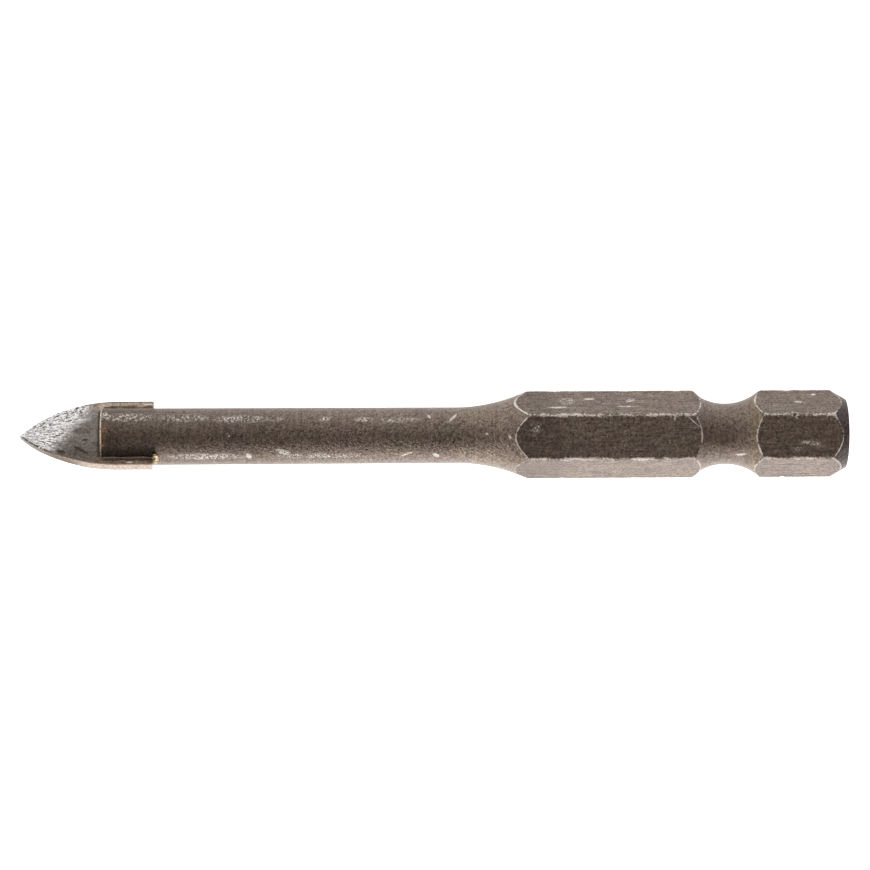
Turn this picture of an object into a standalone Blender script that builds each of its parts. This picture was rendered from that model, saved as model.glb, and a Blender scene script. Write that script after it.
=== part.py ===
"""Spear-point drill bit for glass and tile, with a quarter-inch quick-change hexagon.

The bit lies along X: the shank's end face is at X = 0 and the point is at the negative end.
One flat of the hexagon faces straight up and the opposite one straight down.
A steel shank, a carbide plate in a slot in its nose, and the braze that holds the plate.
"""

import math

import bmesh
import bpy
from mathutils import Matrix, Vector

MM = 0.001

# Hexagon of the shank
ACROSS_FLATS = 6.35 * MM
CORNER_BREAK = 0.055 * MM  # what turning takes off each sharp corner
HEX_LENGTH = 26.4 * MM  # end face to where the corners run out into the neck
END_CHAMFER_DEPTH = 0.315 * MM  # how far the end face's rim lies below the flats
END_CHAMFER_ANGLE = math.radians(30)

# Ball-detent groove
GROOVE_CENTRE = 9.95 * MM  # from the end face
GROOVE_DEPTH = 0.665 * MM  # below the flats
GROOVE_RADIUS = 4.25 * MM
SHOULDER_OFFSET = 2.02 * MM  # from the groove's centre to the foot of the chamfer beside it
SHOULDER_ANGLE = math.radians(40)

# Neck and round shaft
NECK_RADIUS = 14.0 * MM
SHAFT_LENGTH = 29.14 * MM
SHAFT_NECK_DIAMETER = 4.62 * MM
SHAFT_NOSE_DIAMETER = 4.70 * MM
NOSE_CHAMFER = 0.15 * MM

# Carbide plate
PLATE_WIDTH = 6.14 * MM  # the diameter that the bit drills
PLATE_THICKNESS = 0.8 * MM
PLATE_LENGTH = 10.93 * MM
PLATE_SEAT = 4.29 * MM  # length of the plate that sits in the slot
PLATE_TURN = math.radians(36)  # the plate's face against the upper flat, about the axis
FLANK_RADIUS = 12.1 * MM
FLANK_RELIEF = math.radians(3)
CHISEL_WIDTH = 0.08 * MM
TAIL_CHAMFER = 0.08 * MM
POINT_GRIND_LENGTH = 4.1 * MM  # from the point back to where the ground facet starts
POINT_GRIND_ANGLE = math.radians(2.5)
POINT_GRIND_SKEW = math.radians(31)  # the facet falls towards the flank that trails on its face

# Braze
BRAZE_FILM = 0.06 * MM
BRAZE_FILLET = 0.22 * MM
FILLET_HOLLOW = 0.3  # depth of the fillet's hollow face, as a share of its leg
BRAZE_BEAD = 0.04 * MM  # how far the solder stands proud of the round nose
BRAZE_SINK = 0.05 * MM  # how far it lies back from the flat nose
BRAZE_CLEARANCE = 0.01 * MM  # between solder and steel
SLOT_RUNOUT = 0.5 * MM  # slot behind the plate, filled with braze

# Facets
TURNED_STEPS = 72  # round the axis, a multiple of 12 so that all six corners come out alike
GROOVE_STEPS = 14
NECK_STEPS = 14
FLANK_STEPS = 22
MERGE_DISTANCE = 0.0001 * MM
SHARP_ANGLE = math.radians(20)  # an edge that turns more than this stays sharp in the shading
CUT_MARGIN = 1.0 * MM  # how far a cutting tool runs past the metal

HEX_SIDES = 6
FLAT_RADIUS = ACROSS_FLATS / 2
CORNER_RADIUS = FLAT_RADIUS / math.cos(math.pi / HEX_SIDES) - CORNER_BREAK
END_RADIUS = FLAT_RADIUS - END_CHAMFER_DEPTH
GROOVE_FLOOR = FLAT_RADIUS - GROOVE_DEPTH
SHAFT_NECK_RADIUS = SHAFT_NECK_DIAMETER / 2
SHAFT_NOSE_RADIUS = SHAFT_NOSE_DIAMETER / 2

NECK_RISE = max(CORNER_RADIUS - SHAFT_NECK_RADIUS, 0.0)
NECK_TURN = math.acos(1 - min(NECK_RISE / NECK_RADIUS, 1.0))
SHAFT_START = HEX_LENGTH + NECK_RADIUS * math.sin(NECK_TURN)
STEEL_LENGTH = SHAFT_START + SHAFT_LENGTH

PLATE_REAR = STEEL_LENGTH - PLATE_SEAT
PLATE_POINT = PLATE_REAR + PLATE_LENGTH
SLOT_WIDTH = PLATE_THICKNESS + 2 * BRAZE_FILM
SLOT_FLOOR = PLATE_REAR - SLOT_RUNOUT


def clear_scene():
    for obj in list(bpy.data.objects):
        bpy.data.objects.remove(obj, do_unlink=True)


def make_material(name, colour, roughness, metallic):
    material = bpy.data.materials.new(name)
    material.use_nodes = True
    shader = material.node_tree.nodes["Principled BSDF"]
    shader.inputs["Base Color"].default_value = (*colour, 1.0)
    shader.inputs["Roughness"].default_value = roughness
    shader.inputs["Metallic"].default_value = metallic
    material.diffuse_color = (*colour, 1.0)
    return material


def make_object(name, bm):
    """A new object from a bmesh, with its doubles merged and its faces pointing out."""
    bmesh.ops.remove_doubles(bm, verts=bm.verts, dist=MERGE_DISTANCE)
    bmesh.ops.recalc_face_normals(bm, faces=bm.faces)
    mesh = bpy.data.meshes.new(name)
    bm.to_mesh(mesh)
    bm.free()
    obj = bpy.data.objects.new(name, mesh)
    bpy.context.scene.collection.objects.link(obj)
    return obj


def as_helper(obj):
    """Marks an object as a cutter or a blank that isn't part of the bit."""
    obj.hide_render = True
    obj.display_type = "WIRE"
    return obj


def boolean(obj, operation, other):
    modifier = obj.modifiers.new(f"{operation.lower()} {other.name}", "BOOLEAN")
    modifier.operation = operation
    modifier.solver = "EXACT"
    modifier.object = other


def arc(centre, radius, start, end, steps):
    """Points (along, out) on an arc, from one angle to another, both ends included."""
    angles = (start + (end - start) * i / steps for i in range(steps + 1))
    return [(centre[0] + radius * math.cos(a), centre[1] + radius * math.sin(a)) for a in angles]


def end_profile():
    """End face, then the cone that leads the hexagon into a chuck."""
    cone_length = (CORNER_RADIUS - END_RADIUS) / math.tan(END_CHAMFER_ANGLE)
    return [(0.0, 0.0), (0.0, END_RADIUS), (cone_length, CORNER_RADIUS)]


def groove_profile():
    """Round groove for the chuck's balls, with a chamfered shoulder on its far side."""
    centre = (GROOVE_CENTRE, GROOVE_FLOOR + GROOVE_RADIUS)
    climb = min(CORNER_RADIUS - GROOVE_FLOOR, GROOVE_RADIUS)
    near_angle = math.acos(1 - climb / GROOVE_RADIUS)
    far_angle = min(math.asin(min(SHOULDER_OFFSET / GROOVE_RADIUS, 1.0)), near_angle)
    down = -math.pi / 2
    points = arc(centre, GROOVE_RADIUS, down - near_angle, down + far_angle, GROOVE_STEPS)
    foot_along, foot_out = points[-1]
    shoulder_length = (CORNER_RADIUS - foot_out) / math.tan(SHOULDER_ANGLE)
    if shoulder_length > MERGE_DISTANCE:
        points.append((foot_along + shoulder_length, CORNER_RADIUS))
    return points


def neck_profile():
    """One arc, from the corners of the hexagon to where it runs out tangent to the shaft."""
    centre = (SHAFT_START, SHAFT_NECK_RADIUS + NECK_RADIUS)
    down = -math.pi / 2
    return arc(centre, NECK_RADIUS, down - NECK_TURN, down, NECK_STEPS)


def nose_profile():
    """The shaft's slightly thicker front, its chamfered rim and its flat nose."""
    return [
        (STEEL_LENGTH - NOSE_CHAMFER, SHAFT_NOSE_RADIUS),
        (STEEL_LENGTH, SHAFT_NOSE_RADIUS - NOSE_CHAMFER),
        (STEEL_LENGTH, 0.0),
    ]


def make_turned_body(name):
    """The shank as it leaves the lathe: its half profile spun about X."""
    profile = end_profile() + groove_profile() + neck_profile() + nose_profile()
    bm = bmesh.new()
    verts = [bm.verts.new((-along, 0.0, out)) for along, out in profile]
    edges = [bm.edges.new(pair) for pair in zip(verts, verts[1:])]
    bmesh.ops.spin(
        bm,
        geom=verts + edges,
        cent=(0.0, 0.0, 0.0),
        axis=(1.0, 0.0, 0.0),
        angle=math.tau,
        steps=TURNED_STEPS,
    )
    return make_object(name, bm)


def make_hexagon_bar(name):
    """Hexagon bar as it comes from the mill, longer than the bit, with flats up and down."""
    bm = bmesh.new()
    sharp_radius = FLAT_RADIUS / math.cos(math.pi / HEX_SIDES)
    ring = []
    for i in range(HEX_SIDES):
        angle = math.tau * i / HEX_SIDES
        ring.append(
            bm.verts.new((CUT_MARGIN, sharp_radius * math.cos(angle), sharp_radius * math.sin(angle)))
        )
    face = bm.faces.new(ring)
    grown = bmesh.ops.extrude_face_region(bm, geom=[face])["geom"]
    moved = [item for item in grown if isinstance(item, bmesh.types.BMVert)]
    reach = Vector((-(STEEL_LENGTH + 2 * CUT_MARGIN), 0.0, 0.0))
    bmesh.ops.translate(bm, verts=moved, vec=reach)
    return as_helper(make_object(name, bm))


def plate_frame():
    """Turns the plate's own frame, face along Z and width along Y, into its place on the axis."""
    return Matrix.Rotation(-PLATE_TURN, 4, "X")


def make_slot_block(name, floor, front, across, thickness):
    """Block along the axis in the plate's plane, from one distance off the end face to another."""
    bm = bmesh.new()
    bmesh.ops.create_cube(bm, size=1.0)
    bmesh.ops.scale(bm, vec=(front - floor, across, thickness), verts=bm.verts)
    bmesh.ops.translate(bm, vec=(-(floor + front) / 2, 0.0, 0.0), verts=bm.verts)
    bmesh.ops.transform(bm, matrix=plate_frame(), verts=bm.verts)
    return make_object(name, bm)


def make_slot_saw(name):
    """What the slotting saw sweeps, out through the nose and both sides."""
    across = SHAFT_NOSE_DIAMETER + 2 * CUT_MARGIN
    return as_helper(
        make_slot_block(name, SLOT_FLOOR, STEEL_LENGTH + CUT_MARGIN, across, SLOT_WIDTH)
    )


def flank_angle():
    """Half of the angle that the two flanks include at the point."""
    rise = min((PLATE_WIDTH - CHISEL_WIDTH) / 2, FLANK_RADIUS)
    return math.acos(1 - rise / FLANK_RADIUS)


def flank_points():
    """One flank from the point back: (from point, half width, slope of the flank there)."""
    start = flank_angle()
    arch_length = FLANK_RADIUS * math.sin(start)
    shoulder = min(arch_length, PLATE_LENGTH - TAIL_CHAMFER)
    end = math.asin((arch_length - shoulder) / FLANK_RADIUS)
    points = []
    for i in range(FLANK_STEPS + 1):
        slope = start + (end - start) * i / FLANK_STEPS
        back = arch_length - FLANK_RADIUS * math.sin(slope)
        half_width = PLATE_WIDTH / 2 - FLANK_RADIUS * (1 - math.cos(slope))
        points.append((back, half_width, slope))
    if shoulder < PLATE_LENGTH - TAIL_CHAMFER:
        points.append((PLATE_LENGTH - TAIL_CHAMFER, PLATE_WIDTH / 2, 0.0))
    last_width = points[-1][1]
    points.append((PLATE_LENGTH, last_width - TAIL_CHAMFER, 0.0))
    return points


def plate_outline(face_side):
    """The plate's outline on one face. Each flank cuts on one face and is ground back on the other."""
    setback = PLATE_THICKNESS * math.tan(FLANK_RELIEF)
    full_slope = flank_angle()

    def flank(width_side):
        trails = width_side == face_side
        for back, half_width, slope in flank_points():
            ground = setback * slope / full_slope if trails else 0.0
            yield (back - PLATE_POINT, width_side * (half_width - ground))

    return list(flank(1)) + list(flank(-1))[::-1]


def make_point_wheel(name, face_side):
    """What a grinding wheel takes off one face of the point: a shallow, skewed facet."""
    size = 2 * PLATE_LENGTH
    start = Vector((POINT_GRIND_LENGTH - PLATE_POINT, 0.0, PLATE_THICKNESS / 2))
    face_turn = 0.0 if face_side == 1 else math.pi
    bm = bmesh.new()
    bmesh.ops.create_cube(bm, size=size)
    bmesh.ops.translate(bm, vec=(0.0, 0.0, size / 2), verts=bm.verts)
    place = (
        plate_frame()
        @ Matrix.Rotation(face_turn, 4, "X")
        @ Matrix.Translation(start)
        @ Matrix.Rotation(-POINT_GRIND_SKEW, 4, "Z")
        @ Matrix.Rotation(-POINT_GRIND_ANGLE, 4, "Y")
    )
    bmesh.ops.transform(bm, matrix=place, verts=bm.verts)
    return as_helper(make_object(name, bm))


def make_carbide_tip(material):
    """Spear plate: two flat faces joined by flanks that lean with the relief, thinned at the point."""
    bm = bmesh.new()
    rings = []
    for face_side in (1, -1):
        height = face_side * PLATE_THICKNESS / 2
        ring = [bm.verts.new((along, across, height)) for along, across in plate_outline(face_side)]
        bm.faces.new(ring)
        rings.append(ring)
    upper, lower = rings
    for i in range(len(upper)):
        j = (i + 1) % len(upper)
        bm.faces.new((upper[i], upper[j], lower[j], lower[i]))
    bmesh.ops.transform(bm, matrix=plate_frame(), verts=bm.verts)
    tip = make_object("carbide_tip", bm)
    tip.data.materials.append(material)
    boolean(tip, "DIFFERENCE", make_point_wheel("upper_point_wheel", 1))
    boolean(tip, "DIFFERENCE", make_point_wheel("lower_point_wheel", -1))
    return tip


def make_round_blank(name, radius):
    """Round bar over the nose, wider than the steel by a little, in the same facets."""
    reach = STEEL_LENGTH + CUT_MARGIN - (SLOT_FLOOR - CUT_MARGIN)
    bm = bmesh.new()
    bmesh.ops.create_cone(
        bm, cap_ends=True, segments=TURNED_STEPS, radius1=radius, radius2=radius, depth=reach
    )
    along_x = Matrix.Rotation(math.pi / 2, 4, "Y")
    bmesh.ops.rotate(bm, verts=bm.verts, matrix=along_x)
    middle = SLOT_FLOOR - CUT_MARGIN + reach / 2
    bmesh.ops.translate(bm, vec=(-middle, 0.0, 0.0), verts=bm.verts)
    return as_helper(make_object(name, bm))


def fillet_section():
    """Outline (across, off the middle plane) of one fillet, let into the plate and the steel."""
    face = PLATE_THICKNESS / 2
    within_plate = face / 2
    let_in = within_plate / 2
    top = face + BRAZE_FILLET
    corner = math.sqrt(SHAFT_NOSE_RADIUS**2 - face**2)
    toe = math.sqrt(SHAFT_NOSE_RADIUS**2 - top**2)
    within_steel = corner - 2 * BRAZE_FILLET
    hollow = FILLET_HOLLOW * BRAZE_FILLET
    return [
        (within_steel, within_plate),
        (corner + BRAZE_FILLET, within_plate),
        (corner + BRAZE_FILLET, face - let_in),
        (corner + hollow, face + hollow),
        (toe - let_in, top),
        (within_steel, top),
    ]


def make_fillet_rods(name):
    """Four rods in the corners where the plate stands out of the round nose."""
    bm = bmesh.new()
    section = fillet_section()
    ends = (PLATE_REAR - BRAZE_FILLET, STEEL_LENGTH - NOSE_CHAMFER - BRAZE_FILLET)
    for width_side in (1, -1):
        for face_side in (1, -1):
            rings = [
                [bm.verts.new((-along, width_side * w, face_side * n)) for w, n in section]
                for along in ends
            ]
            for ring in rings:
                bm.faces.new(ring)
            for i in range(len(section)):
                j = (i + 1) % len(section)
                bm.faces.new((rings[0][i], rings[0][j], rings[1][j], rings[1][i]))
    bmesh.ops.transform(bm, matrix=plate_frame(), verts=bm.verts)
    return as_helper(make_object(name, bm))


def make_shank(turned, bar, saw, material):
    """Turned body, cut to its six flats, then sawn for the plate."""
    shank = bpy.data.objects.new("shank", turned.data.copy())
    bpy.context.scene.collection.objects.link(shank)
    shank.data.materials.append(material)
    boolean(shank, "INTERSECT", bar)
    boolean(shank, "DIFFERENCE", saw)
    return shank


def make_braze(tip, material):
    """Solder that fills the slot round the plate and creeps up in fillets beside it."""
    across = SHAFT_NOSE_DIAMETER + 2 * CUT_MARGIN
    braze = make_slot_block(
        "braze",
        SLOT_FLOOR + BRAZE_CLEARANCE,
        STEEL_LENGTH - BRAZE_SINK,
        across,
        SLOT_WIDTH - 2 * BRAZE_CLEARANCE,
    )
    braze.data.materials.append(material)
    bead = make_round_blank("bead_blank", SHAFT_NOSE_RADIUS + BRAZE_BEAD)
    steel_skin = make_round_blank("steel_skin", SHAFT_NOSE_RADIUS + BRAZE_CLEARANCE)
    rods = make_fillet_rods("fillet_rods")
    boolean(rods, "DIFFERENCE", steel_skin)
    boolean(braze, "INTERSECT", bead)
    boolean(braze, "UNION", rods)
    boolean(braze, "DIFFERENCE", tip)
    return braze


def shade(obj):
    """Round stretches are shaded smooth, and the edges between them stay sharp."""
    obj.data.shade_smooth()
    obj.data.set_sharp_from_angle(angle=SHARP_ANGLE)


def main():
    clear_scene()
    steel = make_material("tempered_steel", (0.205, 0.165, 0.142), 0.5, 0.9)
    carbide = make_material("sintered_carbide", (0.40, 0.39, 0.38), 0.35, 0.9)
    brass = make_material("brass_braze", (0.45, 0.31, 0.15), 0.45, 1.0)

    turned = as_helper(make_turned_body("turned_body"))
    bar = make_hexagon_bar("hexagon_bar")
    saw = make_slot_saw("slot_saw")

    shank = make_shank(turned, bar, saw, steel)
    tip = make_carbide_tip(carbide)
    braze = make_braze(tip, brass)
    for piece in (shank, tip, braze):
        shade(piece)


main()
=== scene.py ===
# %% [markdown]
# # A spear-point drill bit
#
# The bit is three pieces of metal. Its shank is hexagon bar that a lathe has turned down at one
# end, its cutting tip is a flat plate of sintered carbide, and braze holds the plate in a slot.
# This file dresses the CAD model of the bit: each piece is built again at the fineness that a
# close photograph needs, with the wear, the tool marks and the heat stains of a bit that has been
# used. The CAD solids stay as they are and only say where everything is.

# %% The frame that everything is built on
import math

import bmesh
import bpy
import numpy as np
from mathutils import Matrix, Vector, noise
from mathutils.bvhtree import BVHTree


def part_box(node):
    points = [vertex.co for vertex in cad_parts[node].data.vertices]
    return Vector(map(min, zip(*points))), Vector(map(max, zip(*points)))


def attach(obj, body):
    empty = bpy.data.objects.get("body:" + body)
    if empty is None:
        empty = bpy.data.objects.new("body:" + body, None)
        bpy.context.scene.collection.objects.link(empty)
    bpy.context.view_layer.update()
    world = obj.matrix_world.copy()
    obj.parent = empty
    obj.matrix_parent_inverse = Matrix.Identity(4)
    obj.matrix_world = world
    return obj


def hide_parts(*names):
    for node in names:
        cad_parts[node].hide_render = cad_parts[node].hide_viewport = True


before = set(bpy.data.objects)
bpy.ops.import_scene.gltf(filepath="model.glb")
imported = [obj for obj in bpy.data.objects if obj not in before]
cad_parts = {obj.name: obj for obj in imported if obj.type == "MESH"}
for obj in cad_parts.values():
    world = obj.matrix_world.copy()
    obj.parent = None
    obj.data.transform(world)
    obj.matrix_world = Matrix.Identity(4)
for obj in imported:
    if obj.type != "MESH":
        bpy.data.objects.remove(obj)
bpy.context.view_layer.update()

# %% [markdown]
# ## Sizes
#
# The bit lies along X with its end face at zero and its point at the negative end. What can be
# measured on the frame is measured there. The rest are the sizes that a drawing of the bit would
# give: each is written once, in millimetres, and every shape below is worked out from them.

# %% Sizes of the bit
MM = 0.001

steel_low, steel_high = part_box("shank")
tip_low, tip_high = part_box("carbide_tip")
STEEL_LENGTH = -steel_low.x / MM
PLATE_POINT = -tip_low.x / MM
FLAT_RADIUS = steel_high.z / MM
CORNER_RADIUS = steel_high.y / MM

HEX_LENGTH = 26.4
END_CHAMFER_DEPTH = 0.315
END_CHAMFER_ANGLE = math.radians(30)
GROOVE_CENTRE = 9.95
GROOVE_DEPTH = 0.665
GROOVE_RADIUS = 4.25
SHOULDER_OFFSET = 2.02
SHOULDER_ANGLE = math.radians(40)
NECK_RADIUS = 14.0
SHAFT_NECK_RADIUS = 2.31
SHAFT_NOSE_RADIUS = 2.35
NOSE_CHAMFER = 0.15
PLATE_WIDTH = 6.14
PLATE_THICKNESS = 0.8
PLATE_LENGTH = 10.93
PLATE_TURN = math.radians(36)
FLANK_RADIUS = 12.1
FLANK_RELIEF = math.radians(3)
CHISEL_WIDTH = 0.08
TAIL_CHAMFER = 0.08
POINT_GRIND_LENGTH = 4.1
POINT_GRIND_ANGLE = math.radians(2.5)
POINT_GRIND_SKEW = math.radians(31)
SLOT_WIDTH = 0.92
SLOT_RUNOUT = 0.5

PLATE_REAR = PLATE_POINT - PLATE_LENGTH
SLOT_FLOOR = PLATE_REAR - SLOT_RUNOUT
END_RADIUS = FLAT_RADIUS - END_CHAMFER_DEPTH
GROOVE_FLOOR = FLAT_RADIUS - GROOVE_DEPTH
plate_frame = Matrix.Rotation(-PLATE_TURN, 4, "X")
print(f"steel {STEEL_LENGTH:.2f} mm long, {2 * FLAT_RADIUS:.2f} mm across its flats")

# %% [markdown]
# ## The camera
#
# The bit was photographed from almost straight above, from about 30 centimetres. The picture is
# 870 pixels square. One point on the bit's axis is named with the pixel that it falls on, and the
# camera looks exactly at it, so no lens shift is needed. A bit of yaw, tilt and roll gives the
# axis its slight slope in the picture and shows a little more of one side than of the other.

# %% The camera
PICTURE = 870
PIXELS_PER_MM = 12.12
CAMERA_DISTANCE = 306.0
TARGET_ALONG = 33.95
TARGET_ACROSS = 0.03
CAMERA_YAW = math.radians(1.88)
CAMERA_TILT = math.radians(3.8)
CAMERA_ROLL = math.radians(0.288)
SENSOR = 36.0
CLIP_NEAR = 0.01
CLIP_FAR = 10.0


def add_object(name, data):
    """A new object at the origin, in the scene."""
    obj = bpy.data.objects.new(name, data)
    bpy.context.scene.collection.objects.link(obj)
    return obj


def make_camera():
    """A camera that looks down on the bit, turned as the one in the photograph."""
    data = bpy.data.cameras.new("camera")
    data.sensor_width = SENSOR
    data.lens = SENSOR * PIXELS_PER_MM * CAMERA_DISTANCE / PICTURE
    data.clip_start = CLIP_NEAR
    data.clip_end = CLIP_FAR
    target = Vector((-TARGET_ALONG, TARGET_ACROSS, 0.0)) * MM
    back = Vector(
        (
            -math.sin(CAMERA_YAW),
            math.cos(CAMERA_YAW) * math.sin(CAMERA_TILT),
            math.cos(CAMERA_YAW) * math.cos(CAMERA_TILT),
        )
    )
    level_up = Vector((0.0, math.cos(CAMERA_TILT), -math.sin(CAMERA_TILT)))
    level_right = level_up.cross(back).normalized()
    right = math.cos(CAMERA_ROLL) * level_right - math.sin(CAMERA_ROLL) * level_up
    up = back.cross(right)
    place = Matrix((right, up, back)).transposed().to_4x4()
    place.translation = target + back * CAMERA_DISTANCE * MM
    camera = add_object("camera", data)
    camera.matrix_world = place
    bpy.context.scene.camera = camera
    return camera


camera = make_camera()
print(f"lens {camera.data.lens:.1f} mm")

# %% [markdown]
# ## Marks of use, where the photograph shows them
#
# Most of the wear on the bit is the same all over, and noise will make it. A few marks are big
# enough to know the bit by. They are read off the photograph in pixels, and the camera says where
# on the steel each pixel lies: a ray goes from the camera through the pixel to the CAD shank. The
# first of them is a dent in the upper corner near the tail.

# %% From a pixel to a place on the bit
def solid_under(node):
    """The CAD solid of a node, ready for rays."""
    bm = bmesh.new()
    bm.from_mesh(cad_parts[node].data)
    tree = BVHTree.FromBMesh(bm)
    bm.free()
    return tree


shank_solid = solid_under("shank")


def on_the_shank(pixel_x, pixel_y):
    """Where a pixel of the photograph falls on the shank, in metres."""
    place = camera.matrix_world
    reach = camera.data.lens / camera.data.sensor_width * PICTURE
    ray = Vector((pixel_x - PICTURE / 2, PICTURE / 2 - pixel_y, -reach))
    return shank_solid.ray_cast(place.translation, place.to_3x3() @ ray)[0]


DENTS = {"Tail Dent": (794.5, 414.5)}
for name, pixel in DENTS.items():
    print(name, "at", [round(s / MM, 2) for s in on_the_shank(*pixel)], "mm")

# %% [markdown]
# ## A short way to write node trees
#
# Shapes and finishes below are both node trees. A tree written node by node is long, so this
# helper adds a node, sets it and joins it to what feeds it in one call. A feed is a number, a
# colour, a node or one of a node's outputs. Sums and products get short names of their own.

# %% The node helper
MEASURES = ("DISTANCE", "LENGTH", "DOT_PRODUCT")


class NodeBench:
    """Adds nodes to one tree and joins each new node to what feeds it."""

    def __init__(self, tree):
        self.tree = tree

    def add(self, kind, feeds=(), **settings):
        node = self.tree.nodes.new(kind)
        for name, value in settings.items():
            setattr(node, name, value)
        for key, value in feeds.items() if isinstance(feeds, dict) else enumerate(feeds):
            self.feed(node.inputs[key], value)
        return node

    def feed(self, socket, value):
        if isinstance(value, bpy.types.Node):
            value = value.outputs[0]
        if isinstance(value, bpy.types.NodeSocket):
            self.tree.links.new(value, socket)
        elif value is not None:
            socket.default_value = value

    def given(self):
        """What the tree is given, by name."""
        return self.add("NodeGroupInput").outputs

    def put_out(self, *values):
        self.add("NodeGroupOutput", values)
        return self.tree

    def math(self, operation, *values):
        return self.add("ShaderNodeMath", values, operation=operation).outputs[0]

    def chain(self, operation, values):
        result = values[0]
        for value in values[1:]:
            result = self.math(operation, result, value)
        return result

    def plus(self, *values):
        return self.chain("ADD", values)

    def times(self, *values):
        return self.chain("MULTIPLY", values)

    def most(self, *values):
        return self.chain("MAXIMUM", values)

    def minus(self, first, second):
        return self.math("SUBTRACT", first, second)

    def over(self, first, second):
        return self.math("DIVIDE", first, second)

    def absolute(self, value):
        return self.math("ABSOLUTE", value)

    def line(self, value, slope, start):
        """The value times the slope, plus the start."""
        return self.math("MULTIPLY_ADD", value, slope, start)

    def ramp(self, value, low, high, to_low=0.0, to_high=1.0):
        """A smooth step from to_low to to_high while the value goes from low to high."""
        feeds = (value, low, high, to_low, to_high)
        return self.add("ShaderNodeMapRange", feeds, interpolation_type="SMOOTHSTEP").outputs[0]

    def noise(self, vector, scale, detail=2.0, rough=0.5, seed=0.0):
        feeds = {"Vector": vector, "W": seed, "Scale": scale, "Detail": detail, "Roughness": rough}
        return self.add("ShaderNodeTexNoise", feeds, noise_dimensions="4D").outputs[0]

    def vector(self, operation, *values):
        """Vector maths, which gives a vector, or a number where it measures."""
        node = self.add("ShaderNodeVectorMath", values, operation=operation)
        return node.outputs["Value" if operation in MEASURES else "Vector"]

    def stretch(self, vector, x, y, z):
        return self.vector("MULTIPLY", vector, (x, y, z))

    def split(self, vector):
        return self.add("ShaderNodeSeparateXYZ", [vector]).outputs

    def mix(self, mask, under, over):
        """The colour under where the mask is 0, and the colour over where it is 1."""
        node = self.add("ShaderNodeMix", data_type="RGBA")
        for socket, value in zip((node.inputs[0], node.inputs[6], node.inputs[7]), (mask, under, over)):
            self.feed(socket, value)
        return node.outputs[2]


def add_socket(tree, name, kind, output=False, default=None):
    side = "OUTPUT" if output else "INPUT"
    socket = tree.interface.new_socket(name, in_out=side, socket_type=f"NodeSocket{kind}")
    if default is not None:
        socket.default_value = default
    return socket


print("short names for nodes:", ", ".join(name for name in vars(NodeBench) if name[0] != "_"))

# %% [markdown]
# ## The shank, turned and milled by Geometry Nodes
#
# The real shank is hexagon bar. A lathe takes away everything outside one half section, and what
# it leaves of the six flats stays flat. So the surface follows a rule: at each place along the
# bit and each angle round it, its radius is the smaller of the turned radius and the bar's.
# A solid cut from two shapes would do, but its edges are knife sharp and its facets long. Here
# the rule itself makes the mesh: rows along the bit, columns round it, and a soft minimum that
# rounds each edge as use does. The first step is the half section, drawn as a turner would.

# %% The half section of the turned shank
EDGE_BLEND = 0.05
RIM_BLEND = 0.05
END_FACE_RINGS = 9
# where each zone ends, and how far apart its rows are
ROW_ZONES = (
    (1.45, 0.045),
    (7.1, 0.15),
    (12.8, 0.075),
    (HEX_LENGTH - 0.1, 0.14),
    (HEX_LENGTH + 1.4, 0.042),
    (34.0, 0.13),
    (STEEL_LENGTH - 0.6, 0.36),
    (STEEL_LENGTH, 0.04),
)


def soft_min(a, b, blend):
    """The smaller of two values, rounded where they are nearly equal."""
    share = np.clip(0.5 + 0.5 * (b - a) / blend, 0, 1)
    return b + (a - b) * share - blend * share * (1 - share)


def groove_radius(along):
    """The round groove, and the straight chamfer that leaves it on its far side."""
    drop = np.sqrt(np.maximum(GROOVE_RADIUS**2 - (along - GROOVE_CENTRE) ** 2, 0))
    foot = math.sqrt(GROOVE_RADIUS**2 - SHOULDER_OFFSET**2)
    climb = (along - GROOVE_CENTRE - SHOULDER_OFFSET) * math.tan(SHOULDER_ANGLE)
    past_foot = along > GROOVE_CENTRE + SHOULDER_OFFSET
    return GROOVE_FLOOR + GROOVE_RADIUS + np.where(past_foot, climb - foot, -drop)


def neck_and_shaft_radius(along):
    """One arc from the corners that runs out tangent to the shaft, and the shaft's slight taper."""
    turn = math.acos(1 - (CORNER_RADIUS - SHAFT_NECK_RADIUS) / NECK_RADIUS)
    shaft_start = HEX_LENGTH + NECK_RADIUS * math.sin(turn)
    drop = np.sqrt(np.maximum(NECK_RADIUS**2 - (shaft_start - along) ** 2, 0))
    arc = SHAFT_NECK_RADIUS + NECK_RADIUS - drop
    share = (along - shaft_start) / (STEEL_LENGTH - NOSE_CHAMFER - shaft_start)
    shaft = SHAFT_NECK_RADIUS + share * (SHAFT_NOSE_RADIUS - SHAFT_NECK_RADIUS)
    return np.where(along < shaft_start, arc, shaft)


def turned_radius(along):
    lead_in = END_RADIUS + along * math.tan(END_CHAMFER_ANGLE)
    nose = SHAFT_NOSE_RADIUS - NOSE_CHAMFER + (STEEL_LENGTH - along)
    radius = soft_min(lead_in, np.full_like(along, CORNER_RADIUS), RIM_BLEND)
    for cut in (groove_radius(along), neck_and_shaft_radius(along), nose):
        radius = soft_min(radius, cut, RIM_BLEND)
    return radius


def row_places():
    """Distances from the end face of every row, close together where the shape turns quickly."""
    places = [0.0]
    for end, step in ROW_ZONES:
        count = max(1, round((end - places[-1]) / step))
        places += list(np.linspace(places[-1], end, count + 1)[1:])
    return np.array(places)


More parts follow.
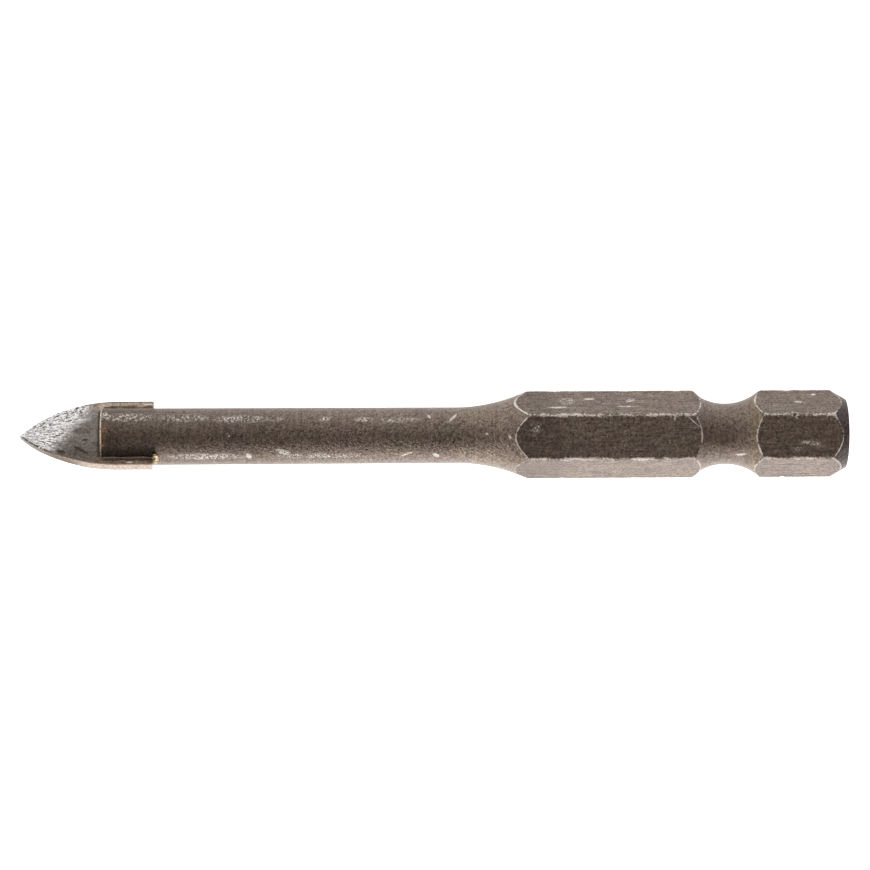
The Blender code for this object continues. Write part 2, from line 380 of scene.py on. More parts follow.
def make_half_section():
    """The section from the middle of the end face to the middle of the nose, one point a row."""
    along = row_places()
    radius = turned_radius(along)
    shares = np.linspace(0, 1, END_FACE_RINGS, endpoint=False)
    points = [(0.0, share * radius[0]) for share in shares]
    points += list(zip(along, radius))
    points += [(STEEL_LENGTH, share * radius[-1]) for share in shares[::-1]]
    mesh = bpy.data.meshes.new("half_section")
    spots = [(-a * MM, 0.0, r * MM) for a, r in points]
    mesh.from_pydata(spots, [(i, i + 1) for i in range(len(spots) - 1)], [])
    return add_object("half_section", mesh)


half_section = make_half_section()
print(len(half_section.data.vertices), "rows along the shank")

# %% [markdown]
# The tree spreads a grid over the rows of the section and the columns round the axis, and moves
# each point to its radius. Columns crowd towards the six corners, where the edges are.

# %% Rows along the bit and columns round it
SHANK_COLUMNS = 204
HEX_SIDES = 6
SIXTH = math.tau / HEX_SIDES
CROWDING = 0.7
LEAST_LEAN = 0.15
SHANK_NUMBERS = (
    "Flat Radius",
    "Corner Radius",
    "Corner Blend",
    "Edge Blend",
    "Corner Reach",
    "Rim Reach",
    "Nick Depth",
    "Nick Scale",
    "Nick Seed",
    "Dent Radius",
    "Dent Depth",
)


def new_shank_tree():
    tree = bpy.data.node_groups.new("turn_and_mill", "GeometryNodeTree")
    add_socket(tree, "Half Section", "Geometry")
    add_socket(tree, "Columns", "Int", default=SHANK_COLUMNS)
    for name in SHANK_NUMBERS:
        add_socket(tree, name, "Float")
    for name in (*DENTS, "Slot Size", "Slot Middle", "Slot Turn"):
        add_socket(tree, name, "Vector")
    add_socket(tree, "Material", "Material")
    add_socket(tree, "Shank", "Geometry", output=True)
    return tree


def lay_grid(bench, given):
    """The grid, and the row and the column that each of its points stands in."""
    rows = bench.add("GeometryNodeAttributeDomainSize", [given["Half Section"]], component="MESH")
    width = bench.plus(given["Columns"], 1.0)
    grid = bench.add("GeometryNodeMeshGrid", (1.0, 1.0, rows.outputs["Point Count"], width))
    index = bench.add("GeometryNodeInputIndex").outputs[0]
    row = bench.math("FLOOR", bench.over(bench.plus(index, 0.5), width))
    column = bench.minus(index, bench.times(row, width))
    return grid, row, column


def read_section(bench, given, row):
    """The half section at a row, and how steeply its radius changes there."""
    position = bench.add("GeometryNodeInputPosition")

    def at(some_row):
        feeds = {"Geometry": given["Half Section"], "Value": position, "Index": some_row}
        return bench.split(bench.add("GeometryNodeSampleIndex", feeds, data_type="FLOAT_VECTOR"))

    here = at(row)
    following = at(bench.plus(row, 1.0))
    lean = bench.over(bench.minus(following["Z"], here["Z"]), bench.minus(here["X"], following["X"]))
    return here, bench.most(bench.absolute(lean), LEAST_LEAN)


def spread_columns(bench, given, column):
    """The angle of a column round the axis, and from the middle of its own flat."""
    turn = bench.over(bench.times(column, float(HEX_SIDES)), given["Columns"])
    flat = bench.math("FLOOR", bench.plus(turn, 0.5))
    off_flat = bench.minus(turn, flat)
    even = bench.times(off_flat, SIXTH * (1 - CROWDING))
    crowded = bench.math("SINE", bench.times(off_flat, math.pi))
    local = bench.line(crowded, SIXTH / 2 * CROWDING, even)
    return bench.line(flat, SIXTH, local), local


print(SHANK_COLUMNS, "columns round the shank, one every", round(360 / SHANK_COLUMNS, 2), "degrees")

# %% [markdown]
# The same numbers say how near a point is to an edge, and whether the lathe or the bar made it.
# The tree writes them down as attributes for the steel's finish. Noise bites small nicks out of
# the edges, because every hardened edge that has been through a drill's chuck has them, and the
# dent that the photograph shows is pressed in with a torn outline.

# %% The radius of each point, and its nicks
BEHIND_A_CORNER = 1.5
COARSE_NICKS = (0.52, 0.78)
FINE_NICKS = (0.5, 0.8)
FINE_NICK_SCALE = 3.3
FINE_NICK_SHARE = 0.5
RIM_NICK_SHARE = 0.6
DENT_TEAR = 2.4


def nearness(bench, distance, reach):
    """1 at no distance, falling evenly to 0 at the reach."""
    return bench.most(bench.minus(1.0, bench.over(distance, reach)), 0.0)


def bar_radius(bench, given, local):
    """The hexagon bar's radius at an angle from the middle of a flat."""
    own_flat = bench.over(given["Flat Radius"], bench.math("COSINE", local))
    to_next = bench.minus(SIXTH, bench.absolute(local))
    next_flat = bench.over(given["Flat Radius"], bench.math("COSINE", to_next))
    return bench.math("SMOOTH_MIN", own_flat, next_flat, given["Corner Blend"])


def edge_masks(bench, given, turned, bar, lean, local):
    """How near a point is to a corner and to a rim, and whether the lathe cut it."""
    gap = bench.minus(bar, turned)
    rim = nearness(bench, bench.over(bench.absolute(gap), lean), given["Rim Reach"])
    cut_in = bench.minus(given["Corner Radius"], turned)
    rim = bench.times(rim, bench.ramp(cut_in, 0.2 * EDGE_BLEND * MM, EDGE_BLEND * MM))
    to_corner = bench.times(bench.minus(SIXTH / 2, bench.absolute(local)), given["Flat Radius"])
    to_corner = bench.most(to_corner, bench.times(gap, BEHIND_A_CORNER))
    corner = nearness(bench, to_corner, given["Corner Reach"])
    return corner, rim, bench.ramp(gap, 0.0, given["Edge Blend"])


def dig(bench, given, place, corner, rim):
    """How deep nicks and dents go at a place, and the dents' own mask."""
    seed = given["Nick Seed"]
    coarse = bench.ramp(bench.noise(place, given["Nick Scale"], detail=2.0, seed=seed), *COARSE_NICKS)
    fine_scale = bench.times(given["Nick Scale"], FINE_NICK_SCALE)
    fine = bench.noise(place, fine_scale, detail=1.0, seed=seed)
    bite = bench.line(bench.ramp(fine, *FINE_NICKS), FINE_NICK_SHARE, coarse)
    edge = bench.most(bench.times(rim, RIM_NICK_SHARE), corner)
    nick = bench.times(bite, edge, given["Nick Depth"])
    dent = 0.0
    tear = bench.times(given["Dent Radius"], DENT_TEAR)
    for name in DENTS:
        away = bench.vector("DISTANCE", place, given[name])
        torn = bench.line(bench.minus(fine, 0.5), tear, away)
        dent = bench.plus(dent, bench.ramp(torn, given["Dent Radius"], 0.0))
    return bench.line(dent, given["Dent Depth"], nick), dent


print(len(DENTS), "dent is pressed in, and nicks cover the edges")

# %% [markdown]
# Last, a blade saws the slot for the plate with a Boolean, and the tree closes with the two nodes
# that make the result a plain mesh with a material.

# %% The tree that turns and mills the shank
MERGE_DISTANCE = 2e-7
SHARP_BEND = math.radians(40)


def build_turn_and_mill():
    bench = NodeBench(new_shank_tree())
    given = bench.given()
    grid, row, column = lay_grid(bench, given)
    section, lean = read_section(bench, given, row)
    angle, local = spread_columns(bench, given, column)
    bar = bar_radius(bench, given, local)
    smooth = bench.math("SMOOTH_MIN", section["Z"], bar, given["Edge Blend"])
    corner, rim, by_lathe = edge_masks(bench, given, section["Z"], bar, lean, local)
    sine, cosine = bench.math("SINE", angle), bench.math("COSINE", angle)

    def around(radius):
        spot = (section["X"], bench.times(radius, sine), bench.times(radius, cosine))
        return bench.add("ShaderNodeCombineXYZ", spot).outputs[0]

    depth, dent = dig(bench, given, around(smooth), corner, rim)
    place = around(bench.minus(smooth, depth))
    shaped = bench.add("GeometryNodeSetPosition", {"Geometry": grid, "Position": place})
    for name, value in (("corner", corner), ("rim", rim), ("turned", by_lathe), ("dent", dent)):
        feeds = {"Geometry": shaped, "Name": name, "Value": value}
        shaped = bench.add("GeometryNodeStoreNamedAttribute", feeds, data_type="FLOAT", domain="POINT")
    feeds = {"Geometry": shaped, "Distance": MERGE_DISTANCE}
    outward = bench.add("GeometryNodeFlipFaces", [bench.add("GeometryNodeMergeByDistance", feeds)])

    block = bench.add("GeometryNodeMeshCube", [given["Slot Size"]])
    feeds = {"Geometry": block, "Translation": given["Slot Middle"], "Rotation": given["Slot Turn"]}
    blade = bench.add("GeometryNodeTransform", feeds)
    sawn = bench.add("GeometryNodeMeshBoolean", [outward, blade], operation="DIFFERENCE", solver="EXACT")
    bend = bench.add("GeometryNodeInputMeshEdgeAngle").outputs["Unsigned Angle"]
    feeds = {"Geometry": sawn, "Shade Smooth": bench.math("LESS_THAN", bend, SHARP_BEND)}
    shaded = bench.add("GeometryNodeSetShadeSmooth", feeds, domain="EDGE")
    real = bench.add("GeometryNodeRealizeInstances", [shaded])
    feeds = {"Geometry": real, "Material": given["Material"]}
    return bench.put_out(bench.add("GeometryNodeSetMaterial", feeds))


turn_and_mill = build_turn_and_mill()
print(len(turn_and_mill.nodes), "nodes turn and mill the shank")

# %% [markdown]
# The tree runs on the half section. Its sizes are set by the sockets' identifiers before the
# object is first evaluated, and the result becomes a plain mesh of its own. The shank waits for
# its steel, so this cell only says how it will be made.

# %% How the shank is made
SAW_OVERRUN = 1.0
SHANK_VALUES = {
    "Columns": SHANK_COLUMNS,
    "Flat Radius": FLAT_RADIUS * MM,
    "Corner Radius": CORNER_RADIUS * MM,
    "Corner Blend": 0.04 * MM,
    "Edge Blend": EDGE_BLEND * MM,
    "Corner Reach": 0.5 * MM,
    "Rim Reach": 0.16 * MM,
    "Nick Depth": 0.07 * MM,
    "Nick Scale": 1.6 / MM,
    "Nick Seed": 4.0,
    "Slot Turn": (-PLATE_TURN, 0.0, 0.0),
    "Dent Radius": 0.34 * MM,
    "Dent Depth": 0.06 * MM,
}


def run_tree(obj, tree, values):
    """Runs a Geometry Nodes tree on an object and gives the result as a plain mesh."""
    modifier = obj.modifiers.new(tree.name, "NODES")
    modifier.node_group = tree
    for item in tree.interface.items_tree:
        if item.item_type == "SOCKET" and item.in_out == "INPUT" and item.name in values:
            modifier[item.identifier] = values[item.name]
    graph = bpy.context.evaluated_depsgraph_get()
    mesh = bpy.data.meshes.new_from_object(obj.evaluated_get(graph))
    obj.modifiers.remove(modifier)
    return mesh


def add_piece(name, mesh, node):
    """Adds a finished mesh as a piece that rides on the bit and stands for one CAD node."""
    mesh.name = name
    piece = add_object(name, mesh)
    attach(piece, "root")
    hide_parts(node)
    mesh.calc_loop_triangles()
    print(name, len(mesh.loop_triangles), "triangles")
    return piece


def make_shank(steel):
    blade_front = STEEL_LENGTH + SAW_OVERRUN
    blade_size = (blade_front - SLOT_FLOOR, 4 * SHAFT_NOSE_RADIUS, SLOT_WIDTH)
    values = SHANK_VALUES | {name: on_the_shank(*pixel) for name, pixel in DENTS.items()}
    values["Slot Size"] = tuple(size * MM for size in blade_size)
    values["Slot Middle"] = (-(blade_front + SLOT_FLOOR) / 2 * MM, 0.0, 0.0)
    values["Material"] = steel
    mesh = run_tree(half_section, turn_and_mill, values)
    bpy.data.objects.remove(half_section)
    return add_piece("shank_skin", mesh, "shank")


print(f"the saw goes {STEEL_LENGTH - SLOT_FLOOR:.2f} mm deep into the nose")

# %% [markdown]
# ## The carbide plate
#
# The cutting tip is pressed from tungsten carbide powder, sintered, and ground. Its two flanks are
# arcs that meet in a point, each leans back from its cutting edge, and a shallow facet on each face
# thins the point. An extruded outline would be flat and sharp everywhere. Here each face is a grid
# whose rows run from point to tail, so the facet, the grinding furrows and the chips that use has
# broken out of the cutting edges are all in the mesh. This plate is a single one, not the drawing:
# its flanks swell a few hundredths past the arc, and it was brazed a tenth of a millimetre off the
# middle, so its rear part stands aside.

# %% The outline of the plate, row by row
ARC_ROWS = 150
TAIL_ROWS = 36
PLATE_OFFSET = 0.12
OFFSET_FROM = 4.0
FLANK_SWELL = 0.08
CHIP_REACH = 7.0
CHIP_SEED_STEP = 5
# for flakes and for fine chips: waves per millimetre, least wave that breaks, depth
CHIP_KINDS = ((3.1, 0.12, 0.05), (9.0, 0.0, 0.025))


def plate_rows():
    """For each row from the point back: distance from the point, half width, share of relief."""
    start = math.acos(1 - (PLATE_WIDTH - CHISEL_WIDTH) / 2 / FLANK_RADIUS)
    slope = np.linspace(start, 0, ARC_ROWS)
    arc_length = FLANK_RADIUS * math.sin(start)
    tail = np.linspace(arc_length, PLATE_LENGTH, TAIL_ROWS + 1)[1:]
    back = np.concatenate([arc_length - FLANK_RADIUS * np.sin(slope), tail])
    arc_width = PLATE_WIDTH / 2 - FLANK_RADIUS * (1 - np.cos(slope))
    half = np.concatenate([arc_width, np.full(TAIL_ROWS, PLATE_WIDTH / 2)])
    half = half + FLANK_SWELL * np.sin(math.pi * np.sqrt(np.clip(back / arc_length, 0, 1))) ** 2
    to_tail = PLATE_LENGTH - back
    half = half - np.maximum(TAIL_CHAMFER - to_tail, 0)
    relief = np.concatenate([slope / start, np.zeros(TAIL_ROWS)])
    return back, half, relief


def wave(x, y, z, scale, seed):
    """Smooth noise between about -1 and 1 at places in millimetres, the same on every run."""
    shift = Vector((seed, 2.3 * seed, 0.7 * seed))
    spots = zip(*(np.ravel(v) for v in np.broadcast_arrays(x, y, z)))
    values = [noise.noise(Vector(spot) * scale + shift) for spot in spots]
    return np.array(values).reshape(np.broadcast(x, y, z).shape)


def chips(back, seed):
    """How far an edge is broken back: small flakes all along, larger ones near the point."""
    depth = 0.0
    for k, (per_mm, least, size) in enumerate(CHIP_KINDS):
        height = wave(back, 0, 0, per_mm, seed + CHIP_SEED_STEP * k)
        depth = depth + np.maximum(height - least, 0) * size
    near_point = np.clip(1.4 - back / CHIP_REACH, 0.15, 1.0)
    return depth * near_point


back, half, relief = plate_rows()
print(f"{len(back)} rows, {2 * half.max():.2f} mm wide, chips up to {chips(back, 14.0).max():.3f} mm")

# %% [markdown]
# Each row of a face is as wide as the outline says, less the relief on the flank that trails and
# the chips on both. The height of each point takes in the facet and the furrows of its grinding.
# The rows are moved aside last, and carry the facet along.

# %% The two faces of the plate
PLATE_COLUMNS = 56
EDGE_LAND = 0.3
FACET_BLEND = 0.006
FACET_DEPTH = 0.03
FURROW_DEPTH = 0.004
FURROW_WAVES = (0.35, 2.2)
FURROW_SCALE = 2.6
FURROW_SEED = 31.0
UNGROUND_FURROWS = 0.35
FACE_SEED = 11.0
FLANK_SEED = 3.0


def facet_drop(along, across):
    """How far the ground facet of the upper face lies below the flat face."""
    turn = Matrix.Rotation(-POINT_GRIND_SKEW, 3, "Z") @ Matrix.Rotation(-POINT_GRIND_ANGLE, 3, "Y")
    normal = turn @ Vector((0.0, 0.0, 1.0))
    from_start = along - (POINT_GRIND_LENGTH - PLATE_POINT)
    height = -(normal.x * from_start + normal.y * across) / normal.z
    return -soft_min(height, np.zeros_like(height), FACET_BLEND)


def plate_face(side):
    """Points of one face as a grid, with how near each of them is to a cutting edge."""
    setback = PLATE_THICKNESS * math.tan(FLANK_RELIEF) * relief
    reach = {}
    for flank in (1, -1):
        trails = flank == side
        own = chips(back, FACE_SEED * side + FLANK_SEED * flank) * (0.5 if trails else 1.0)
        reach[flank] = half - (setback if trails else 0) - np.minimum(own, half / 3)
    share = np.linspace(-1, 1, PLATE_COLUMNS + 1)
    across = np.where(share > 0, share * reach[1][:, None], share * reach[-1][:, None])
    along = np.broadcast_to((back - PLATE_POINT)[:, None], across.shape)
    drop = facet_drop(along, side * across)
    ground = np.clip(drop / FACET_DEPTH, 0, 1)
    waves = (along * FURROW_WAVES[0], across * FURROW_WAVES[1], side)
    furrows = wave(*waves, FURROW_SCALE, FURROW_SEED) * FURROW_DEPTH * (UNGROUND_FURROWS + ground)
    height = side * (PLATE_THICKNESS / 2 - drop + furrows)
    to_edge = np.minimum(reach[1][:, None] - across, across + reach[-1][:, None])
    rim = np.clip(1 - to_edge / EDGE_LAND, 0, 1)
    shift = np.clip(back / OFFSET_FROM, 0, 1)
    across = across + PLATE_OFFSET * (3 * shift**2 - 2 * shift**3)[:, None]
    return np.stack([along, across, height], axis=-1), rim


faces = {side: plate_face(side) for side in (1, -1)}
print("each face is a grid of", " by ".join(str(n) for n in faces[1][1].shape), "points")

# %% [markdown]
# The walls between the faces get rows of their own, a little hollow in places. Every point also
# stores how near it is to a cutting edge and whether it belongs to a wall, for the finish.

# %% The mesh of the plate
WALL_ROWS = 6
WALL_HOLLOW = 0.012
WALL_WAVES = 4.0
WALL_SEED = 7.0


def mesh_from(bm, name):
    """The mesh of a finished bmesh, which is freed."""
    mesh = bpy.data.meshes.new(name)
    bm.to_mesh(mesh)
    bm.free()
    return mesh


def join_loops(bm, loops):
    """Faces between loops of points that follow one another."""
    for near, far in zip(loops, loops[1:]):
        for k in range(len(near)):
            m = (k + 1) % len(near)
            bm.faces.new((near[k], near[m], far[m], far[k]))


def rim_walk(rows, columns):
    """Rows and columns of the points round the edge of a grid, in order."""
    walk = [(0, j) for j in range(columns - 1)]
    walk += [(i, columns - 1) for i in range(rows - 1)]
    walk += [(rows - 1, j) for j in range(columns - 1, 0, -1)]
    return walk + [(i, 0) for i in range(rows - 1, 0, -1)]


def wall_levels(top, bottom):
    """The rows of points between the rim of one face and the rim of the other."""
    for k in range(1, WALL_ROWS):
        share = k / WALL_ROWS
        level = top * (1 - share) + bottom * share
        hollow = np.maximum(wave(*level.T, WALL_WAVES, WALL_SEED), 0) * WALL_HOLLOW
        level[:, 1] -= np.sign(level[:, 1]) * hollow
        yield level


def make_plate_mesh():
    rows, columns = faces[1][1].shape
    bm = bmesh.new()
    rim_layer = bm.verts.layers.float.new("rim")
    flank_layer = bm.verts.layers.float.new("flank")

    def add(points, rims, flank):
        made = []
        for point, mark in zip(points.reshape(-1, 3), np.ravel(rims)):
            vert = bm.verts.new(point)
            vert[rim_layer] = mark
            vert[flank_layer] = flank
            made.append(vert)
        return made

    walk = rim_walk(rows, columns)
    rims = []
    for points, marks in faces.values():
        verts = add(points, marks, 0.0)
        rims.append([verts[i * columns + j] for i, j in walk])
        for i in range(rows - 1):
            for j in range(columns - 1):
                k = i * columns + j
                bm.faces.new((verts[k], verts[k + 1], verts[k + columns + 1], verts[k + columns]))
    top, bottom = (np.array([points[i, j] for i, j in walk]) for points, marks in faces.values())
    walls = [add(level, np.ones(len(walk)), 1.0) for level in wall_levels(top, bottom)]
    join_loops(bm, [rims[0], *walls, rims[1]])
    bmesh.ops.transform(bm, matrix=Matrix.Scale(MM, 4) @ plate_frame, verts=bm.verts)
    bmesh.ops.recalc_face_normals(bm, faces=bm.faces)
    return mesh_from(bm, "plate")


plate_mesh = make_plate_mesh()
print(len(plate_mesh.polygons), "faces before the edges are beveled")

# %% [markdown]
# A Bevel modifier gives every edge of the plate the tiny radius that catches light. The helper
# that runs it runs any list of modifiers, because the braze needs others.

# %% The plate's edges
PLATE_BEVEL = 0.012
BEVEL_FROM = math.radians(50)
SHARP_EDGE = math.radians(35)


def finished(mesh, *modifiers):
    """A mesh after some modifiers, each a kind and its settings, shaded smooth between sharp edges."""
    obj = add_object("blank", mesh)
    for kind, settings in modifiers:
        modifier = obj.modifiers.new(kind.lower(), kind)
        for name, value in settings.items():
            setattr(modifier, name, value)
    graph = bpy.context.evaluated_depsgraph_get()
    result = bpy.data.meshes.new_from_object(obj.evaluated_get(graph))
    bpy.data.objects.remove(obj)
    result.shade_smooth()
    result.set_sharp_from_angle(angle=SHARP_EDGE)
    return result


def make_tip(carbide):
    bevel = {"width": PLATE_BEVEL * MM, "segments": 2}
    bevel |= {"limit_method": "ANGLE", "angle_limit": BEVEL_FROM}
    mesh = finished(plate_mesh, ("BEVEL", bevel))
    mesh.materials.append(carbide)
    return add_piece("carbide_skin", mesh, "carbide_tip")


print("the plate's edges get a radius of", PLATE_BEVEL, "mm")

# %% [markdown]
# ## The braze
#
# Braze is brass solder that ran into the slot while the nose was red hot, wetted both metals and
# froze: a film beside the plate, a plug behind it, and a thin fillet in every corner where the
# plate stands out of the round nose. Nothing about it is straight. Crossed solids would look
# machined, so plain shapes are laid over one another instead, a voxel Remesh melts them into one
# skin, and noise gives that skin the lumps of frozen metal. The work is done in millimetres,
# because a voxel has a smallest size, and is brought to scale at the end.

# %% The plain shapes under the braze
BRAZE_PROUD = 0.02
FILL_STOP = 0.05
# by flank, and by face of the plate
FILLET_RADII = {(1, 1): 0.36, (-1, 1): 0.19, (1, -1): 0.17, (-1, -1): 0.2}
FILLET_RINGS = 60
FILLET_SIDES = 12
FILLET_START = 0.05
FILLET_STOP = 0.22
FILLET_SWELL = 0.5
FILLET_WAVES = 1.3
FILLET_SEED = 3.0
# the drops behind the plate, by flank
PLUG_RADII = {1: 0.20, -1: 0.38}
PLUG_SHAPE = (0.85, 0.4, 2.1)
PLUG_BEHIND = 0.22
PLUG_SINK = 0.08
PLUG_LIFT = {1: 0.0, -1: 0.2}
ARC_STEPS = 12


def loft(bm, rings):
    """A closed tube through rings that have as many points each."""
    made = [[bm.verts.new(point) for point in ring] for ring in rings]
    join_loops(bm, made)
    bm.faces.new(made[0][::-1])
    bm.faces.new(made[-1])


def add_slot_fill(bm):
    """A bar where the slot crosses the round nose: two straight sides, joined by arcs of the nose."""
    radius = SHAFT_NOSE_RADIUS + BRAZE_PROUD
    lean = math.asin(SLOT_WIDTH / 2 / radius)
    section = []
    for centre in (0.0, math.pi):
        for i in range(ARC_STEPS + 1):
            angle = centre - lean + 2 * lean * i / ARC_STEPS
            section.append((radius * math.cos(angle), radius * math.sin(angle)))
    ends = (SLOT_FLOOR, STEEL_LENGTH - FILL_STOP)
    loft(bm, [[(-along, w, n) for w, n in section] for along in ends])


def add_fillet(bm, flank, side):
    """One wavy bead in the corner between the plate's face and the nose."""
    corner = math.sqrt(SHAFT_NOSE_RADIUS**2 - (PLATE_THICKNESS / 2) ** 2)
    rings = []
    for along in np.linspace(PLATE_REAR + FILLET_START, STEEL_LENGTH - FILLET_STOP, FILLET_RINGS):
        seed = FILLET_SEED * flank + side
        swell = 1 + FILLET_SWELL * float(wave(along, flank, side, FILLET_WAVES, seed))
        radius = FILLET_RADII[flank, side] * swell
        ring = []
        for k in range(FILLET_SIDES):
            angle = math.tau * k / FILLET_SIDES
            w = corner + radius * math.cos(angle)
            n = PLATE_THICKNESS / 2 + radius * math.sin(angle)
            ring.append((-along, flank * w, side * n))
        rings.append(ring)
    loft(bm, rings)


def add_plug(bm, flank):
    """The drop of solder that closed the slot behind the plate."""
    drop = bmesh.ops.create_icosphere(bm, subdivisions=3, radius=PLUG_RADII[flank])["verts"]
    bmesh.ops.scale(bm, vec=PLUG_SHAPE, verts=drop)
    middle = (PLUG_BEHIND - PLATE_REAR, flank * (SHAFT_NOSE_RADIUS - PLUG_SINK), PLUG_LIFT[flank])
    bmesh.ops.translate(bm, vec=middle, verts=drop)


def make_braze_shapes():
    bm = bmesh.new()
    add_slot_fill(bm)
    for flank in (1, -1):
        add_plug(bm, flank)
        for side in (1, -1):
            add_fillet(bm, flank, side)
    bmesh.ops.transform(bm, matrix=plate_frame, verts=bm.verts)
    bmesh.ops.recalc_face_normals(bm, faces=bm.faces)
    return mesh_from(bm, "braze_shapes")


braze_shapes = make_braze_shapes()
print(len(braze_shapes.polygons), "faces in the plain shapes of the braze")

# %% [markdown]
# The Remesh turns the shapes into one skin without edges. Noise moves that skin in and out, and
# the CAD plate is cut out of it, so that solder and carbide meet without overlapping.

# %% The braze, melted together
BRAZE_VOXEL = 0.036
LUMPS = ((3.3, 0.6), (9.0, 0.4))
LUMP_SIZE = 0.035
PROUD_FROM = 0.02
PROUD_RANGE = 0.05
PLUG_LUMP_SIZE = 0.11


def add_lumps(mesh):
    """Moves the skin in and out where it stands proud of the nose, most on the drops."""
    bm = bmesh.new()
    bm.from_mesh(mesh)
    for vert in bm.verts:
        radius = math.hypot(vert.co.y, vert.co.z)
        proud = min(max((radius - SHAFT_NOSE_RADIUS + PROUD_FROM) / PROUD_RANGE, 0.0), 1.0)
        lump = sum(noise.noise(vert.co * scale) * share for scale, share in LUMPS)
        size = LUMP_SIZE if -vert.co.x > PLATE_REAR else PLUG_LUMP_SIZE
        vert.co += vert.normal * (size * lump * proud)
    bm.to_mesh(mesh)
    bm.free()


def tip_cutter():
    """The CAD plate as one closed mesh in millimetres, to cut its own room out of the braze."""
    bm = bmesh.new()
    bm.from_mesh(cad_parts["carbide_tip"].data)
    bmesh.ops.remove_doubles(bm, verts=bm.verts, dist=0.001 * MM)
    bmesh.ops.scale(bm, vec=(1 / MM,) * 3, verts=bm.verts)
    return add_object("tip_cutter", mesh_from(bm, "tip_cutter"))


def make_braze(brass):
    melt = ("REMESH", {"mode": "VOXEL", "voxel_size": BRAZE_VOXEL})
    melted = finished(braze_shapes, melt, ("SMOOTH", {"factor": 0.5, "iterations": 3}))
    add_lumps(melted)
    cutter = tip_cutter()
    cut = {"operation": "DIFFERENCE", "solver": "EXACT", "object": cutter}
    mesh = finished(melted, ("BOOLEAN", cut))
    bpy.data.objects.remove(cutter)
    mesh.transform(Matrix.Scale(MM, 4))
    mesh.materials.clear()
    mesh.materials.append(brass)
    return add_piece("braze_skin", mesh, "braze")


print("one voxel of braze is", BRAZE_VOXEL, "mm")

# %% [markdown]
# ## Effects that the finishes share
#
# Steel, carbide and braze look different, but what has happened to them is alike: all three are
# grainy, stained, scratched, pitted and worn bright at their edges. Each of those is a node group
# that is built once and placed in each material with its own values. All of them read a place in
# millimetres, so their sizes are real sizes, and they give back masks, tones about 1, or heights
# in millimetres for the bump. The first two are noise in a plain form.

# %% Grain and stain
VECTOR_SOCKETS = ("Place", "Spot", "Size", "Stretch")
FINER = 2.6


def new_effect(name, inputs, outputs):
    """A bench with an empty shader node group, and the sockets that the group is given."""
    tree = bpy.data.node_groups.new(name, "ShaderNodeTree")
    for output, names in ((False, inputs), (True, outputs)):
        for key in names:
            add_socket(tree, key, "Vector" if key in VECTOR_SOCKETS else "Float", output)
    bench = NodeBench(tree)
    return bench, bench.given()


def build_grain():
    """Two sizes of noise: the coarse grain of a skin, and dust between the grains."""
    inputs = ("Place", "Per Millimetre", "Contrast", "Depth", "Seed")
    bench, given = new_effect("grain", inputs, ("Tone", "Height"))
    seed = given["Seed"]
    coarse = bench.noise(given["Place"], given["Per Millimetre"], detail=2.0, rough=0.6, seed=seed)
    finer = bench.times(given["Per Millimetre"], FINER)
    fine = bench.noise(given["Place"], finer, detail=1.0, seed=seed)
    off = bench.minus(bench.line(fine, 0.5, coarse), 0.75)
    return bench.put_out(bench.line(off, given["Contrast"], 1.0), bench.times(off, given["Depth"]))


def build_stain():
    """Soft patches of one size that cover a share of the surface."""
    bench, given = new_effect("stain", ("Place", "Per Millimetre", "Share", "Seed"), ("Mask",))
    scale, seed = given["Per Millimetre"], given["Seed"]
    cloud = bench.noise(given["Place"], scale, detail=3.0, rough=0.6, seed=seed)
    low = bench.line(given["Share"], -0.45, 0.68)
    return bench.put_out(bench.ramp(cloud, low, bench.plus(low, 0.16)))


EFFECTS = {"grain": build_grain(), "stain": build_stain()}
print("shared effects so far:", ", ".join(EFFECTS))

# %% [markdown]
# Lines come from noise that is stretched one way: a line is where it is near one value, and a
# second noise breaks it. Pits are cells of a Voronoi pattern, of which a share is chosen by luck.

# %% Lines and pits
def build_lines():
    """Broken thin lines."""
    bench, given = new_effect("lines", ("Place", "Stretch", "Width", "Share", "Seed"), ("Mask",))
    pulled = bench.vector("MULTIPLY", given["Place"], given["Stretch"])
    level = bench.noise(pulled, 1.0, detail=2.0, seed=given["Seed"])
    line = bench.ramp(bench.absolute(bench.minus(level, 0.5)), given["Width"], 0.0)
    breaks = bench.noise(pulled, 2.3, detail=1.0, seed=bench.plus(given["Seed"], 9.0))
    low = bench.line(given["Share"], -0.5, 0.75)
    kept = bench.ramp(breaks, low, bench.plus(low, 0.08))
    return bench.put_out(bench.times(line, kept))


def build_pits():
    """Round specks scattered at random, of mixed sizes up to the radius."""
    inputs = ("Place", "Per Millimetre", "Radius", "Share", "Seed")
    bench, given = new_effect("pits", inputs, ("Mask",))
    feeds = {"Vector": given["Place"], "W": given["Seed"], "Scale": given["Per Millimetre"]}
    cells = bench.add("ShaderNodeTexVoronoi", feeds, voronoi_dimensions="4D")
    luck = bench.add("ShaderNodeSeparateColor", [cells.outputs["Color"]]).outputs
    chosen = bench.math("LESS_THAN", luck[0], given["Share"])
    size = bench.times(given["Radius"], given["Per Millimetre"])
    size = bench.times(size, bench.line(luck[1], 0.6, 0.4))
    disc = bench.ramp(cells.outputs["Distance"], size, bench.times(size, 0.4))
    return bench.put_out(bench.times(disc, chosen))


EFFECTS |= {"lines": build_lines(), "pits": build_pits()}
print("shared effects so far:", ", ".join(EFFECTS))

# %% [markdown]
# Edge wear reads the nearness that the mesh has stored, and noise makes it ragged. A scuff is a
# single oval at a given spot, for the marks that the photograph shows.

